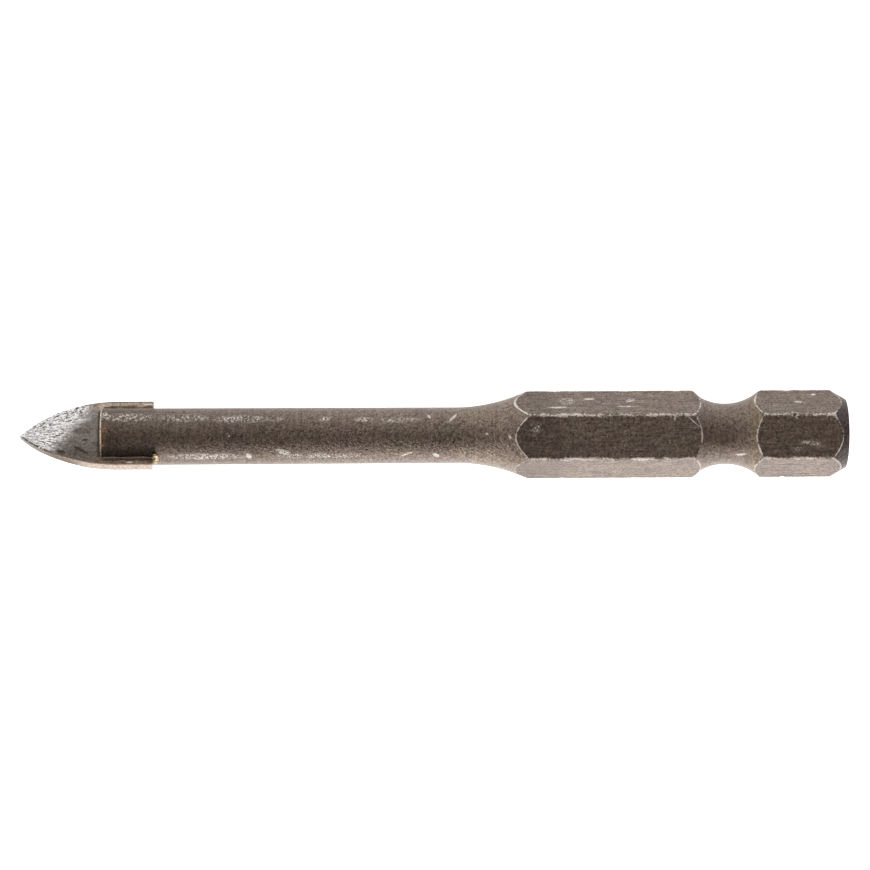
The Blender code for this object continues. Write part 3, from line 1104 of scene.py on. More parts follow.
# %% Edge wear and scuffs
def build_wear():
    """Where an edge has gone bright: near it, and more where slow noise says that it was knocked."""
    bench, given = new_effect("wear", ("Place", "Nearness", "Amount", "Ragged", "Seed"), ("Mask",))
    quick = bench.noise(given["Place"], 5.5, detail=3.0, rough=0.65, seed=given["Seed"])
    slow = bench.noise(given["Place"], 0.8, detail=1.0, seed=given["Seed"])
    both = bench.line(slow, 1.2, bench.times(quick, 1.4))
    ragged = bench.times(bench.minus(both, 1.3), given["Ragged"])
    level = bench.plus(given["Nearness"], given["Amount"], ragged)
    touched = bench.ramp(given["Nearness"], 0.0, 0.15)
    return bench.put_out(bench.times(bench.ramp(level, 0.95, 1.15), touched))


def build_scuff():
    """One mark of use: an oval about a spot, turned and sized, torn and patched by given flecks."""
    inputs = ("Place", "Spot", "Size", "Turn", "Share", "Flecks")
    bench, given = new_effect("scuff", inputs, ("Mask",))
    feeds = {"Vector": given["Place"], "Center": given["Spot"], "Angle": given["Turn"]}
    turned = bench.add("ShaderNodeVectorRotate", feeds, rotation_type="Z_AXIS")
    away = bench.vector("SUBTRACT", turned, given["Spot"])
    reach = bench.vector("LENGTH", bench.vector("DIVIDE", away, given["Size"]))
    ragged = bench.line(bench.minus(given["Flecks"], 0.5), 2.6, reach)
    low = bench.line(given["Share"], -0.5, 0.72)
    patchy = bench.ramp(given["Flecks"], low, bench.plus(low, 0.06))
    return bench.put_out(bench.times(bench.ramp(ragged, 1.1, 0.6), patchy))


EFFECTS |= {"wear": build_wear(), "scuff": build_scuff()}
print(len(EFFECTS), "shared effects:", ", ".join(EFFECTS))

# %% [markdown]
# A finish needs a bench too. This one starts a metal's material, turns places on the object into
# millimetres, places the shared effects, and at the end joins colour, roughness and bump to the
# shader.

# %% A bench for finishes
FLECK_SCALE = 5.0
SCUFF_REACH = 1.2


class FinishBench(NodeBench):
    """A node bench for one metal: it knows places in millimetres and the shared effects."""

    def __init__(self, name, metallic):
        self.material = bpy.data.materials.new(name)
        self.material.use_nodes = True
        super().__init__(self.material.node_tree)
        self.shader = self.material.node_tree.nodes["Principled BSDF"]
        self.shader.inputs["Metallic"].default_value = metallic
        coordinate = self.add("ShaderNodeTexCoord").outputs["Object"]
        self.place = self.stretch(coordinate, 1 / MM, 1 / MM, 1 / MM)

    def plate_place(self):
        """The place in the plate's own directions, with its face turned level."""
        feeds = {"Vector": self.place, "Rotation": (PLATE_TURN, 0.0, 0.0)}
        return self.add("ShaderNodeMapping", feeds)

    def attribute(self, name):
        return self.add("ShaderNodeAttribute", attribute_name=name).outputs["Fac"]

    def flecks(self, place):
        """The quick noise that tears the edges of marks and sparkles between them."""
        return self.noise(place, FLECK_SCALE, detail=3.0, rough=0.85)

    def effect(self, name, output=0, **values):
        feeds = {"Place": self.place}
        feeds |= {key.replace("_", " "): value for key, value in values.items()}
        node = self.add("ShaderNodeGroup", feeds, node_tree=EFFECTS[name])
        return node.outputs[output]

    def grain(self, **values):
        tone = self.effect("grain", **values)
        return tone, tone.node.outputs["Height"]

    def scuffs(self, marks, **feeds):
        """One mask of several scuffs, each a spot, a half length, a half width, a turn and a share."""
        masks = []
        for spot, half_length, half_width, turn, share in marks:
            own = {"Spot": spot, "Size": (half_length, half_width, SCUFF_REACH), "Share": share}
            masks.append(self.effect("scuff", Turn=math.radians(turn), **own, **feeds))
        return self.most(*masks)

    def coat(self, paint, over, *masks):
        """The paint with another colour over it, as far as all the masks together say."""
        return self.mix(self.times(*masks), paint, over)

    def tint(self, paint, tone):
        """A colour made lighter or darker by a tone about 1."""
        node = self.add("ShaderNodeVectorMath", {0: paint, "Scale": tone}, operation="SCALE")
        return node.outputs[0]

    def finish(self, paint, rough, *heights):
        """Joins colour, roughness and bump to the shader. Heights are in millimetres."""
        bump = self.add("ShaderNodeBump", {"Strength": 1.0, "Distance": MM, "Height": self.plus(*heights)})
        for name, value in (("Base Color", paint), ("Roughness", rough), ("Normal", bump)):
            self.feed(self.shader.inputs[name], value)
        print(self.material.name, "is", len(self.tree.nodes), "nodes")
        return self.material


print("flecks are about", 1 / FLECK_SCALE, "mm apart")

# %% [markdown]
# ## The steel
#
# The shank was hardened and tempered, which left a thin brown skin of oxide, a little olive in one
# place and a little purple in another. On the flats the skin lies over the draw lines of the bar,
# on turned parts over the rings of the lathe, and the end chamfer is darkest, with painted shade.
# Where chuck and drill have rubbed, the skin is gone and the steel under it is bright: along the
# corners of the hexagon, at the sharp ends of the flats, and in single scuffs and scratches. Along
# the two bright bands of the shaft, flecks of bare steel are painted glints. The nose was heated
# for brazing, and has patches of rust and soot. Single marks come first. Each is the pixel of its
# middle, half its length and half its width in pixels, its turn, and how much of it shows.

# %% Marks of use on the steel, and painted glints
# The flecks in the two bright bands of the shaft are painted glints: bare-steel colour where the grain
# catches the light. The scratches and streaks are wear.
SCUFFS_AND_GLINTS = {
    "oblique scratch on the shaft": (452.3, 418.4, 6.5, 1.3, -42, 1.0),
    "fleck beside it": (429, 416.5, 2.2, 1.2, 50, 1.0),
    "first patch of painted glints": (326, 418.5, 9, 3.2, -10, 0.45),
    "second patch of painted glints": (364, 419.5, 12, 2.6, 0, 0.5),
    "painted glints nearer the nose": (275, 419, 14, 3.0, 0, 0.4),
    "painted glints beside the braze": (185, 418, 34, 5.0, 0, 0.42),
    "painted glints at the nose": (105, 416, 5, 5.0, 0, 0.44),
    "painted glints on the cheek": (127, 417.5, 36, 6.0, 0, 0.42),
    "painted glints along the shaft": (240, 419, 36, 5.0, 0, 0.44),
    "more painted glints": (400, 420, 30, 3.5, 0, 0.4),
    "painted glint below": (248.5, 456, 3.2, 2.4, 60, 0.9),
    "painted glints beside it": (283, 452, 9, 3.0, 15, 0.55),
    "painted glints low on the shaft": (205, 456.5, 50, 4.5, 0, 0.46),
    "painted glints low in the middle": (320, 456, 60, 3.5, 0, 0.42),
    "low scratch": (407, 454, 6, 1.0, -18, 0.7),
    "small star": (436, 455, 3.8, 1.8, 30, 0.8),
    "white speck": (229, 436, 1.0, 1.0, 0, 1.0),
    "neck fleck": (487, 434, 1.3, 1.1, 0, 1.0),
    "second neck fleck": (510, 437, 2.5, 1.2, 60, 0.9),
    "patch on the upper flat": (567, 401, 10, 4.5, 0, 0.44),
    "streak on the upper flat": (589, 399, 6, 0.9, 0, 0.8),
    "second streak": (630, 400.5, 5.0, 1.6, -10, 0.55),
    "long streak": (558, 407.5, 11, 0.9, 0, 0.6),
    "streak near the groove": (627, 406.5, 12, 0.9, 0, 0.5),
    "crossing scratch": (693, 421, 9, 0.6, 42, 1.0),
    "specks on the front flat": (536, 428, 9, 8.0, 0, 0.38),
    "fleck under the corner": (675, 418, 1.1, 3.0, 0, 0.9),
    "glint in the groove": (741, 454.5, 5.5, 1.3, -5, 0.8),
    "scuffs on the tail": (799, 402, 8, 1.3, 6, 0.5),
    "fleck on the tail": (813, 394.5, 2.6, 0.9, 0, 1.0),
    "row of marks on the tail": (811, 443, 16, 2.6, 8, 0.48),
    "marks beside them": (798, 449, 8, 3.0, 0, 0.42),
}
RUSTY = {
    "rust at the nose": (104.5, 433, 3.5, 7, 0, 1.5),
    "rust under it": (103.5, 445, 2.5, 4, 0, 1.5),
}
WORN_STRETCHES = {
    "corner at the neck": (530, 413, 24, 9, 0, 1.5),
    "corner at the groove": (672, 413, 30, 9, 0, 1.5),
    "end of the upper flat": (516, 405, 7, 10, 0, 1.5),
    "tail corner at the chamfer": (837, 415, 6, 5, 0, 1.5),
}


def marked(bench, marks, flecks):
    """Marks read off the photograph, all in one mask."""
    placed = []
    for pixel_x, pixel_y, half_length, half_width, turn, share in marks.values():
        spot = on_the_shank(pixel_x, pixel_y) / MM
        placed.append((spot, half_length / PIXELS_PER_MM, half_width / PIXELS_PER_MM, turn, share))
    return bench.scuffs(placed, Flecks=flecks)


print(len(SCUFFS_AND_GLINTS), "scuffs,", len(RUSTY), "rusty spots,", len(WORN_STRETCHES), "worn stretches")

# %% [markdown]
# The skin is laid on in coats, from the widest to the smallest: oxide colours, the olive ring of
# tempering behind the groove, soot towards the nose, rust, the browned crease beside the upper
# bead, and painted shade in the crease beside the lower bead and on the end chamfer.

# %% The colours of the steel's skin
OXIDE_BROWN = (0.200, 0.157, 0.130, 1.0)
OXIDE_OLIVE = (0.200, 0.164, 0.130, 1.0)
OXIDE_PURPLE = (0.190, 0.146, 0.131, 1.0)
OLIVE_RING = (0.215, 0.168, 0.115, 1.0)
SOOT = (0.070, 0.052, 0.042, 1.0)
END_CHAMFER_SHADE = (0.075, 0.056, 0.056, 1.0)
CREASE_SHADE = (0.020, 0.015, 0.011, 1.0)
RUST = (0.27, 0.155, 0.085, 1.0)
CREASE_BROWN = (0.085, 0.056, 0.031, 1.0)
END_SHADE_REACH = 1.75
OLIVE_BAND = 7.55
NECK_DARK = 4.5
HEATED = (5.5, 1.0)
SMOKED = (37.0, 53.0)
NOSE_REACH = 4.6


def oxide_skin(bench, along, turned, flat):
    """Brown oxide with olive and purple clouds, the olive ring, and the dark end of the flats."""
    olive = bench.effect("stain", Per_Millimetre=0.45, Share=0.45, Seed=5.0)
    paint = bench.mix(olive, OXIDE_BROWN, OXIDE_OLIVE)
    purple = bench.effect("stain", Per_Millimetre=0.35, Share=0.4, Seed=8.0)
    paint = bench.mix(purple, paint, OXIDE_PURPLE)
    off_band = bench.absolute(bench.minus(along, OLIVE_BAND))
    paint = bench.coat(paint, OLIVE_RING, bench.ramp(off_band, 0.65, 0.25), turned, 0.65)
    return bench.coat(paint, SOOT, bench.ramp(along, HEX_LENGTH - NECK_DARK, HEX_LENGTH), flat, 0.35)


def nose_creases(bench, to_nose):
    """Where nose and plate meet: browned beside the upper bead, painted shade near black beside the lower."""
    split = bench.split(bench.plate_place())
    across, height = split["Y"], split["Z"]
    on_nose = bench.ramp(to_nose, NOSE_REACH + 0.1, NOSE_REACH - 0.2)
    on_nose = bench.times(on_nose, bench.ramp(height, -0.2, 0.2))
    browned = (bench.ramp(height, 2.25, 1.95), bench.ramp(across, 0.6, 1.1), on_nose, 0.85)
    # painted shade: the crease beside the lower bead of braze is made near black
    lower_crease_shade = (bench.ramp(height, 1.95, 1.0), bench.ramp(across, -0.9, -1.5), on_nose, 0.94)
    return browned, lower_crease_shade


def heat_marks(bench, paint, along, to_nose, turned, flecks):
    """Soot and rust of the brazing, painted shade in the lower crease, and painted shade on the end chamfer.
    """
    heated = bench.ramp(to_nose, *HEATED)
    rust = bench.effect("stain", Per_Millimetre=1.4, Share=0.3, Seed=3.0)
    rusty_spots = bench.times(marked(bench, RUSTY, flecks), 0.6)
    soot = bench.effect("stain", Per_Millimetre=0.6, Share=0.5, Seed=13.0)
    paint = bench.coat(paint, SOOT, heated, bench.line(soot, 0.3, 0.33))
    paint = bench.mix(bench.ramp(along, *SMOKED, 0.0, 0.34), paint, SOOT)
    paint = bench.mix(bench.most(bench.times(heated, rust, 0.35), rusty_spots), paint, RUST)
    browned, lower_crease_shade = nose_creases(bench, to_nose)
    paint = bench.coat(paint, CREASE_BROWN, *browned)
    # painted shade in the crease beside the lower bead
    paint = bench.coat(paint, CREASE_SHADE, *lower_crease_shade)
    # painted shade: the end chamfer is darkened towards the end face
    end_shade = bench.ramp(along, END_SHADE_REACH, END_SHADE_REACH - 0.25)
    return bench.coat(paint, END_CHAMFER_SHADE, end_shade, turned)


print("the brazing heat reached", HEATED[0], "mm up the nose")

# %% [markdown]
# Draw lines and lathe rings do two things: they change the tone of the skin, and they are dug into
# it. The same masks therefore feed both the colour and the bump.

# %% Draw lines, lathe rings and grain
DRAWN_TONE = 1.8
RINGED_TONE = 0.9
LINE_TONE = -0.4
GLINT_TONE = 1.1
NECK_TONE = 0.11
DARKEST_TONE = 0.3
NECK_STOP = (34.0, 31.0)
TAIL_TONE = (9.0, 14.0, 0.94, 1.0)
GLINT_FLECKS = (0.59, 0.68)


def machining(bench, along, turned, flat, flecks):
    """The tone of the machined skin, and how far grain, flecks, rings, draw and lines stand out."""
    tone, grain_height = bench.grain(Per_Millimetre=5.8, Contrast=2.9, Depth=0.10, Seed=2.0)
    lines = bench.effect("lines", Stretch=(0.12, 5.0, 5.0), Width=0.05, Share=0.5, Seed=1.0)
    lines = bench.times(lines, flat)
    streaks = bench.stretch(bench.place, 0.6, 7.0, 7.0)
    drawn = bench.noise(streaks, 1.0, detail=3.0, rough=0.65, seed=3.0)
    drawn = bench.times(bench.minus(drawn, 0.5), flat)
    ringed = bench.noise(bench.stretch(bench.place, 8.0, 0.08, 0.08), 1.0, detail=3.0, rough=0.65)
    ringed = bench.times(bench.minus(ringed, 0.5), turned)
    neck = bench.ramp(along, HEX_LENGTH, HEX_LENGTH + 1.5)
    neck = bench.times(neck, bench.ramp(along, *NECK_STOP))
    for mask, strength in (
        (ringed, RINGED_TONE),
        (drawn, DRAWN_TONE),
        (lines, LINE_TONE),
        (neck, NECK_TONE),
    ):
        tone = bench.times(tone, bench.line(mask, strength, 1.0))
    tone = bench.times(tone, bench.ramp(along, *TAIL_TONE))
    # painted glints: the brightest flecks lighten the base colour
    tone = bench.line(bench.ramp(flecks, *GLINT_FLECKS), GLINT_TONE, tone)
    heights = [grain_height]
    for mask, height in ((flecks, 0.02), (ringed, 0.010), (drawn, 0.022), (lines, -0.010)):
        heights.append(bench.times(mask, height))
    return tone, heights


print(f"the darkest tone of the skin is {DARKEST_TONE}, against 1 for the middle")

# %% [markdown]
# Wear comes last, over everything. It is strongest in the stretches that the photograph shows
# bright, and weaker on the side that is lowest in the picture. Rubbed steel is bare but also
# scratched, so it scatters light instead of mirroring it: where it is worn, the finish is rougher
# and less metallic.

# %% Where the steel is worn bright
BARE_STEEL = (0.82, 0.76, 0.71, 1.0)
TINNED_RIM = (0.80, 0.67, 0.50, 1.0)
CORNER_WEAR = 0.17
CORNER_WEAR_MORE = 0.14
RIM_WEAR = 0.34
RIM_WEAR_MORE = 0.3
LOW_SIDE = (-2.4, -1.2)
TINNED_FROM = (0.15, 0.06)
TINNED_TO = (0.003, 0.02)


def worn_edges(bench, across, flecks):
    """Bright corners and rims."""
    worn = marked(bench, WORN_STRETCHES, flecks)
    high_side = bench.ramp(across, *LOW_SIDE, 0.5, 1.0)
    feeds = {"Nearness": bench.attribute("corner"), "Amount": bench.line(worn, CORNER_WEAR_MORE, CORNER_WEAR)}
    corner = bench.effect("wear", Ragged=0.8, Seed=4.0, **feeds)
    corner = bench.times(corner, bench.ramp(flecks, 0.30, 0.42, 0.4, 1.0), high_side)
    feeds = {"Nearness": bench.attribute("rim"), "Amount": bench.line(worn, RIM_WEAR_MORE, RIM_WEAR)}
    rim = bench.effect("wear", Ragged=1.0, Seed=7.0, **feeds)
    rim = bench.times(rim, bench.ramp(flecks, 0.32, 0.46, 0.5, 1.0), high_side)
    return bench.most(corner, rim)


def wear_steel(bench, paint, across, to_nose, flecks):
    """Pits, worn edges, scuffs, painted glints and the tinned rim, over the paint of the skin."""
    specks = bench.effect("pits", Per_Millimetre=2.2, Radius=0.07, Share=0.2, Seed=6.0)
    holes = bench.effect("pits", Per_Millimetre=1.8, Radius=0.09, Share=0.25, Seed=21.0)
    dent = bench.attribute("dent")
    paint = bench.coat(paint, SOOT, bench.most(holes, bench.ramp(dent, 0.35, 0.7)), 0.7)
    dent_rim = bench.times(bench.ramp(dent, 0.02, 0.2), bench.ramp(dent, 0.5, 0.3))
    dent_rim = bench.times(dent_rim, bench.ramp(flecks, 0.4, 0.5))
    scuffs = marked(bench, SCUFFS_AND_GLINTS, flecks)
    edges = worn_edges(bench, across, flecks)
    bright = bench.most(edges, scuffs, dent_rim, bench.times(specks, 0.6))
    paint = bench.coat(paint, BARE_STEEL, bright, 0.9)
    tinned = (bench.ramp(to_nose, *TINNED_FROM), bench.ramp(to_nose, *TINNED_TO))
    paint = bench.coat(paint, TINNED_RIM, *tinned, bench.ramp(flecks, 0.40, 0.52, 0.15, 0.95))
    return paint, bright, [bench.times(holes, -0.02), bench.times(scuffs, -0.008)]


print("solder has tinned the last", TINNED_FROM[0], "mm of the nose's chamfer")

# %% [markdown]
# The coats come together in one function: skin, heat, the tone of the machining, and wear.
# Metallic is linked only because wear changes it over the surface. A value that is the same
# everywhere is set on the shader itself, as in the two finishes below.

# %% The steel's material
SKIN_METALLIC = 0.9
WORN_METALLIC = 0.5
SKIN_ROUGHNESS = 0.345
PALE_ROUGHER = 0.06
WORN_ROUGHER = 0.12


def make_steel():
    bench = FinishBench("tempered_steel", metallic=SKIN_METALLIC)
    split = bench.split(bench.place)
    along = bench.times(split["X"], -1.0)
    to_nose = bench.minus(STEEL_LENGTH, along)
    turned = bench.attribute("turned")
    flat = bench.minus(1.0, turned)
    flecks = bench.flecks(bench.place)

    paint = oxide_skin(bench, along, turned, flat)
    paint = heat_marks(bench, paint, along, to_nose, turned, flecks)
    tone, heights = machining(bench, along, turned, flat, flecks)
    paint = bench.tint(paint, bench.most(tone, DARKEST_TONE))
    paint, bright, dug = wear_steel(bench, paint, split["Y"], to_nose, flecks)

    rough = bench.line(bench.minus(tone, 1.0), PALE_ROUGHER, SKIN_ROUGHNESS)
    rough = bench.line(bright, WORN_ROUGHER, rough)
    metallic = bench.line(bright, WORN_METALLIC - SKIN_METALLIC, SKIN_METALLIC)
    bench.feed(bench.shader.inputs["Metallic"], metallic)
    return bench.finish(paint, rough, *heights, *dug)


steel = make_steel()

# %% [markdown]
# ## The carbide
#
# Fresh from grinding, tungsten carbide is the brightest thing on the bit: a silver facet at the
# point, crossed by short dark furrows that fan out from it, and by pits where grains of the
# brittle stuff were torn out. The furrows are fewest along the middle of the facet. Away from the
# point the plate keeps its sintered skin, grey and browned by the brazing heat, so the bright
# facet fades out toward the slot. The walls round the plate catch the light of the table: they are
# tanned near the point and beige further back. Marks on the plate are placed in millimetres, from
# the point back and across from the middle.

# %% Marks of use on the carbide, and painted glints
SMUDGES = {
    "oblique smudge": (5.05, -1.50, 0.85, 0.17, 34, 1.0),
    "smudge at the edge": (3.40, -1.65, 0.42, 0.20, 10, 0.8),
    "dark fleck": (5.36, -0.52, 0.26, 0.13, 0, 0.8),
}
# painted highlights: spots of ground-carbide colour where the wings glint
GLINTS = {
    "glint on the upper wing": (10.55, 2.86, 0.32, 0.07, 0, 1.0),
    "glint on the lower wing": (9.05, -2.70, 0.32, 0.07, 0, 1.0),
    "flecks on the upper wing": (8.3, 2.75, 2.2, 0.16, 0, 0.42),
}
GOLDEN = {"drop of braze on the lower wing": (9.75, -2.45, 0.36, 0.14, -20, 0.8)}


def smeared(bench, plate, marks, flecks):
    """Ragged ovals on the plate, each a place, a half size and a turn in the plate's directions."""
    placed = []
    for from_point, across, *shape in marks.values():
        placed.append(((from_point - PLATE_POINT, across, PLATE_THICKNESS / 2), *shape))
    return bench.scuffs(placed, Place=plate, Flecks=flecks)


print(len(SMUDGES), "smudges,", len(GLINTS), "glints,", len(GOLDEN), "drop of solder")

# %% [markdown]
# The plate's skin starts as two colours, ground and sintered, with a slanted and cloudy border
# between them. The wings beside the nose, what the heat scorched, and painted shade on the low
# side near the nose are laid over it.

# %% The colours of the plate
CLEAN_BRASS = (0.62, 0.46, 0.24, 1.0)
GROUND_CARBIDE = (0.84, 0.84, 0.86, 1.0)
SINTERED_SKIN = (0.215, 0.188, 0.172, 1.0)
WING_SKIN = (0.47, 0.405, 0.34, 1.0)
LOW_WING_SKIN = (0.25, 0.19, 0.145, 1.0)
SCORCH_AND_SHADE = (0.050, 0.035, 0.026, 1.0)
WALL_SKIN = (0.39, 0.325, 0.28, 1.0)
TANNED_WALL = (0.125, 0.090, 0.063, 1.0)
LIT_EDGE = (0.62, 0.50, 0.42, 1.0)
BRIGHT_REACH = 3.75
GROUND_SLANT = -0.7
GROUND_CLOUD = 2.0
NOSE_SHADOW = (6.31, 6.62)
TO_WINGS = (4.8, 6.6)
UPPER_WING = (2.1, 2.5)
LOWER_WING = (-1.8, -2.2)
TANNED = (3.8, 6.0)


def ground_share(bench, plate, from_point, across):
    """1 on the ground facet, fading out along a slant into the sintered skin."""
    slanted = bench.line(across, GROUND_SLANT, from_point)
    cloud = bench.noise(bench.stretch(plate, 0.8, 1.6, 1.6), 1.0, detail=3.0)
    edge = bench.line(bench.minus(cloud, 0.5), GROUND_CLOUD, slanted)
    return bench.ramp(edge, BRIGHT_REACH + 1.0, BRIGHT_REACH - 0.8)


def plate_skin(bench, ground, from_point, across, face):
    """The faces' skin: wings beside the nose, what the heat scorched, painted shade low near the nose."""
    unground = bench.minus(1.0, ground)
    to_wings = bench.ramp(from_point, *TO_WINGS)
    paint = bench.mix(ground, SINTERED_SKIN, GROUND_CARBIDE)
    paint = bench.coat(paint, WING_SKIN, bench.ramp(across, *UPPER_WING), to_wings)
    paint = bench.coat(paint, LOW_WING_SKIN, bench.ramp(across, *LOWER_WING), to_wings)
    edged = (bench.ramp(bench.attribute("rim"), 0.5, 0.8), bench.ramp(across, 2.2, 2.6), to_wings)
    paint = bench.coat(paint, SCORCH_AND_SHADE, *edged, face, 0.6)
    scorch = bench.effect("stain", Per_Millimetre=0.9, Share=0.35, Seed=4.0)
    paint = bench.coat(paint, SCORCH_AND_SHADE, scorch, unground, face, 0.6)
    before_nose = bench.ramp(from_point, NOSE_SHADOW[1] + 0.3, NOSE_SHADOW[0] - 0.6)
    # painted shade: the low side of the face darkens towards the nose
    low_side = (bench.ramp(across, -0.4, -2.0), unground, before_nose)
    return bench.coat(paint, SCORCH_AND_SHADE, *low_side, face, 0.4)


print("the bright facet reaches", BRIGHT_REACH, "mm back from the point")

# %% [markdown]
# Furrows follow the grinding wheel, so their noise is stretched along rays that start a little
# before the point. A painted shadow lies just in front of the nose. The lower cutting edge has
# painted shade in its chips near the point, and is lit further back.

# %% What is torn, painted with shade and lit on the plate
FAN_START = 2.5
FAN_LENGTH = 1.9
FAN_WIDTH = 40.0
CORE_SLOPE = 0.3
CORE_START = 0.33
CORE_WIDTH = (0.15, 0.75)
CORE_SHARE = 0.72


def furrows(bench, ground, from_point, across):
    """Short dark dashes that fan out from the point, fewest along the middle of the facet."""
    fanned = bench.over(across, bench.plus(from_point, FAN_START))
    feeds = (bench.times(from_point, FAN_LENGTH), bench.times(fanned, FAN_WIDTH))
    fan = bench.add("ShaderNodeCombineXYZ", feeds)
    dashes = bench.noise(fan, 1.0, detail=3.0, rough=0.75, seed=3.0)
    dashes = bench.times(bench.ramp(dashes, 0.505, 0.56), bench.line(ground, 0.7, 0.3))
    off_core = bench.absolute(bench.line(from_point, -CORE_SLOPE, bench.plus(across, CORE_START)))
    return bench.times(dashes, bench.ramp(off_core, *CORE_WIDTH, CORE_SHARE, 1.0))


def shadow_before_nose(bench, from_point, across, flecks):
    """A painted shadow: the dark line on the plate, just in front of the nose."""
    front, rear = NOSE_SHADOW
    begins, ends = bench.ramp(from_point, front, front + 0.1), bench.ramp(from_point, rear + 0.1, rear)
    shadow = bench.times(begins, ends, 0.8, bench.ramp(flecks, 0.3, 0.45))
    return bench.times(shadow, bench.ramp(across, 2.35, 2.15), bench.ramp(across, -2.35, -2.15))


def lower_edge(bench, from_point, across, wall, face, flecks):
    """The lower cutting edge: painted shade in the chips near the point, and a lit line further back."""
    rim, low = bench.attribute("rim"), bench.ramp(across, 0.0, -0.2)
    # painted shade in the chips along the lower cutting edge near the point
    chip_shade = bench.times(bench.ramp(rim, 0.25, 0.5), bench.ramp(wall, 0.9, 0.5), low)
    chip_shade = bench.times(chip_shade, bench.ramp(from_point, 3.2, 2.2), bench.ramp(flecks, 0.33, 0.5))
    lit = bench.times(bench.ramp(rim, 0.6, 0.85), low, face)
    lit = bench.times(lit, bench.ramp(from_point, 2.8, 3.6), bench.ramp(flecks, 0.38, 0.5))
    return chip_shade, lit


print("furrows fan out from", FAN_START, "mm before the point")

# %% [markdown]
# As on the steel, the parts come together in one function. What is torn out of the carbide, and the
# painted shadow before the nose, are dug into its bump as well.

# %% The carbide's material
CARBIDE_METALLIC = 0.85
SINTERED_ROUGHNESS = 0.46
GROUND_ROUGHNESS = 0.34
TORN_DEPTH = 0.010


def make_carbide():
    bench = FinishBench("sintered_carbide", metallic=CARBIDE_METALLIC)
    plate = bench.plate_place()
    split = bench.split(plate)
    from_point = bench.plus(split["X"], PLATE_POINT)
    across = split["Y"]
    wall = bench.attribute("flank")
    face = bench.minus(1.0, wall)
    flecks = bench.flecks(plate)
    tone, grain_height = bench.grain(Per_Millimetre=6.5, Contrast=2.2, Depth=0.02, Seed=12.0)

    ground = ground_share(bench, plate, from_point, across)
    paint = plate_skin(bench, ground, from_point, across, face)
    wall_paint = bench.mix(bench.ramp(from_point, *TANNED), TANNED_WALL, WALL_SKIN)
    paint = bench.tint(bench.mix(wall, paint, wall_paint), tone)
    paint = bench.coat(paint, CLEAN_BRASS, smeared(bench, plate, GOLDEN, flecks), face)

    pits = bench.effect("pits", Per_Millimetre=3.6, Radius=0.10, Share=0.35, Seed=9.0)
    shadow = shadow_before_nose(bench, from_point, across, flecks)
    smudges = smeared(bench, plate, SMUDGES, flecks)
    dark = bench.most(furrows(bench, ground, from_point, across), pits, shadow, smudges)
    # torn holds the furrows, pits and smudges, and the painted shadow before the nose
    torn = bench.times(dark, face)
    chip_shade, lit = lower_edge(bench, from_point, across, wall, face, flecks)
    paint = bench.coat(paint, SCORCH_AND_SHADE, bench.most(torn, chip_shade), 0.95)
    paint = bench.coat(paint, LIT_EDGE, lit, 0.7)
    # painted glints on the wings
    paint = bench.coat(paint, GROUND_CARBIDE, smeared(bench, plate, GLINTS, flecks), face)
    rough = bench.line(ground, GROUND_ROUGHNESS - SINTERED_ROUGHNESS, SINTERED_ROUGHNESS)
    return bench.finish(paint, rough, grain_height, bench.times(torn, -TORN_DEPTH))


carbide = make_carbide()

# %% [markdown]
# ## The braze's finish
#
# The solder is brass, and brown under the oxide of the torch. It is pale and speckled on the drops
# behind the plate, dull and pitted in the hollows, and on the lower side it takes the brown of the
# plate beside it. The same effects serve again, with smaller sizes.

# %% The braze's material
PALE_BRASS = (0.50, 0.40, 0.27, 1.0)
BROWN_BRASS = (0.115, 0.076, 0.042, 1.0)
BRASS_OXIDE = (0.060, 0.038, 0.024, 1.0)
BRASS_METALLIC = 0.9
BRASS_ROUGHNESS = 0.34
DULL_ROUGHER = 0.15
PIT_DEPTH = 0.012


def make_brass():
    bench = FinishBench("brass_braze", metallic=BRASS_METALLIC)
    split = bench.split(bench.place)
    behind_plate = bench.ramp(split["X"], -PLATE_REAR - 0.1, -PLATE_REAR + 0.15)
    low_side = bench.ramp(split["Y"], 0.0, -0.6)
    flecks = bench.flecks(bench.place)
    tone, grain_height = bench.grain(Per_Millimetre=6.0, Contrast=1.6, Depth=0.02, Seed=15.0)
    gold = bench.effect("stain", Per_Millimetre=1.7, Share=0.45, Seed=2.0)
    dull = bench.effect("stain", Per_Millimetre=2.0, Share=0.45, Seed=6.0)
    dull = bench.times(dull, bench.line(behind_plate, -0.5, 1.0))
    pits = bench.effect("pits", Per_Millimetre=4.0, Radius=0.08, Share=0.45, Seed=19.0)

    paint = bench.coat(BROWN_BRASS, CLEAN_BRASS, gold, 0.15)
    paint = bench.coat(paint, PALE_BRASS, behind_plate, bench.ramp(flecks, 0.45, 0.52, 0.05, 1.0))
    paint = bench.coat(paint, BRASS_OXIDE, dull, 0.9)
    paint = bench.coat(paint, LOW_WING_SKIN, low_side, bench.minus(1.0, behind_plate), 0.85)
    paint = bench.tint(paint, tone)
    paint = bench.coat(paint, BRASS_OXIDE, pits, 0.6)
    rough = bench.line(dull, DULL_ROUGHER, BRASS_ROUGHNESS)
    return bench.finish(paint, rough, grain_height, bench.times(pits, -PIT_DEPTH))


brass = make_brass()

# %% [markdown]
# ## The pieces
#
# Each finished mesh now becomes a piece that rides on the bit's one body and stands in for its CAD
# solid. The shank tree runs here, and the braze is melted and cut.

# %% The three pieces
shank = make_shank(steel)
tip = make_tip(carbide)
braze = make_braze(brass)

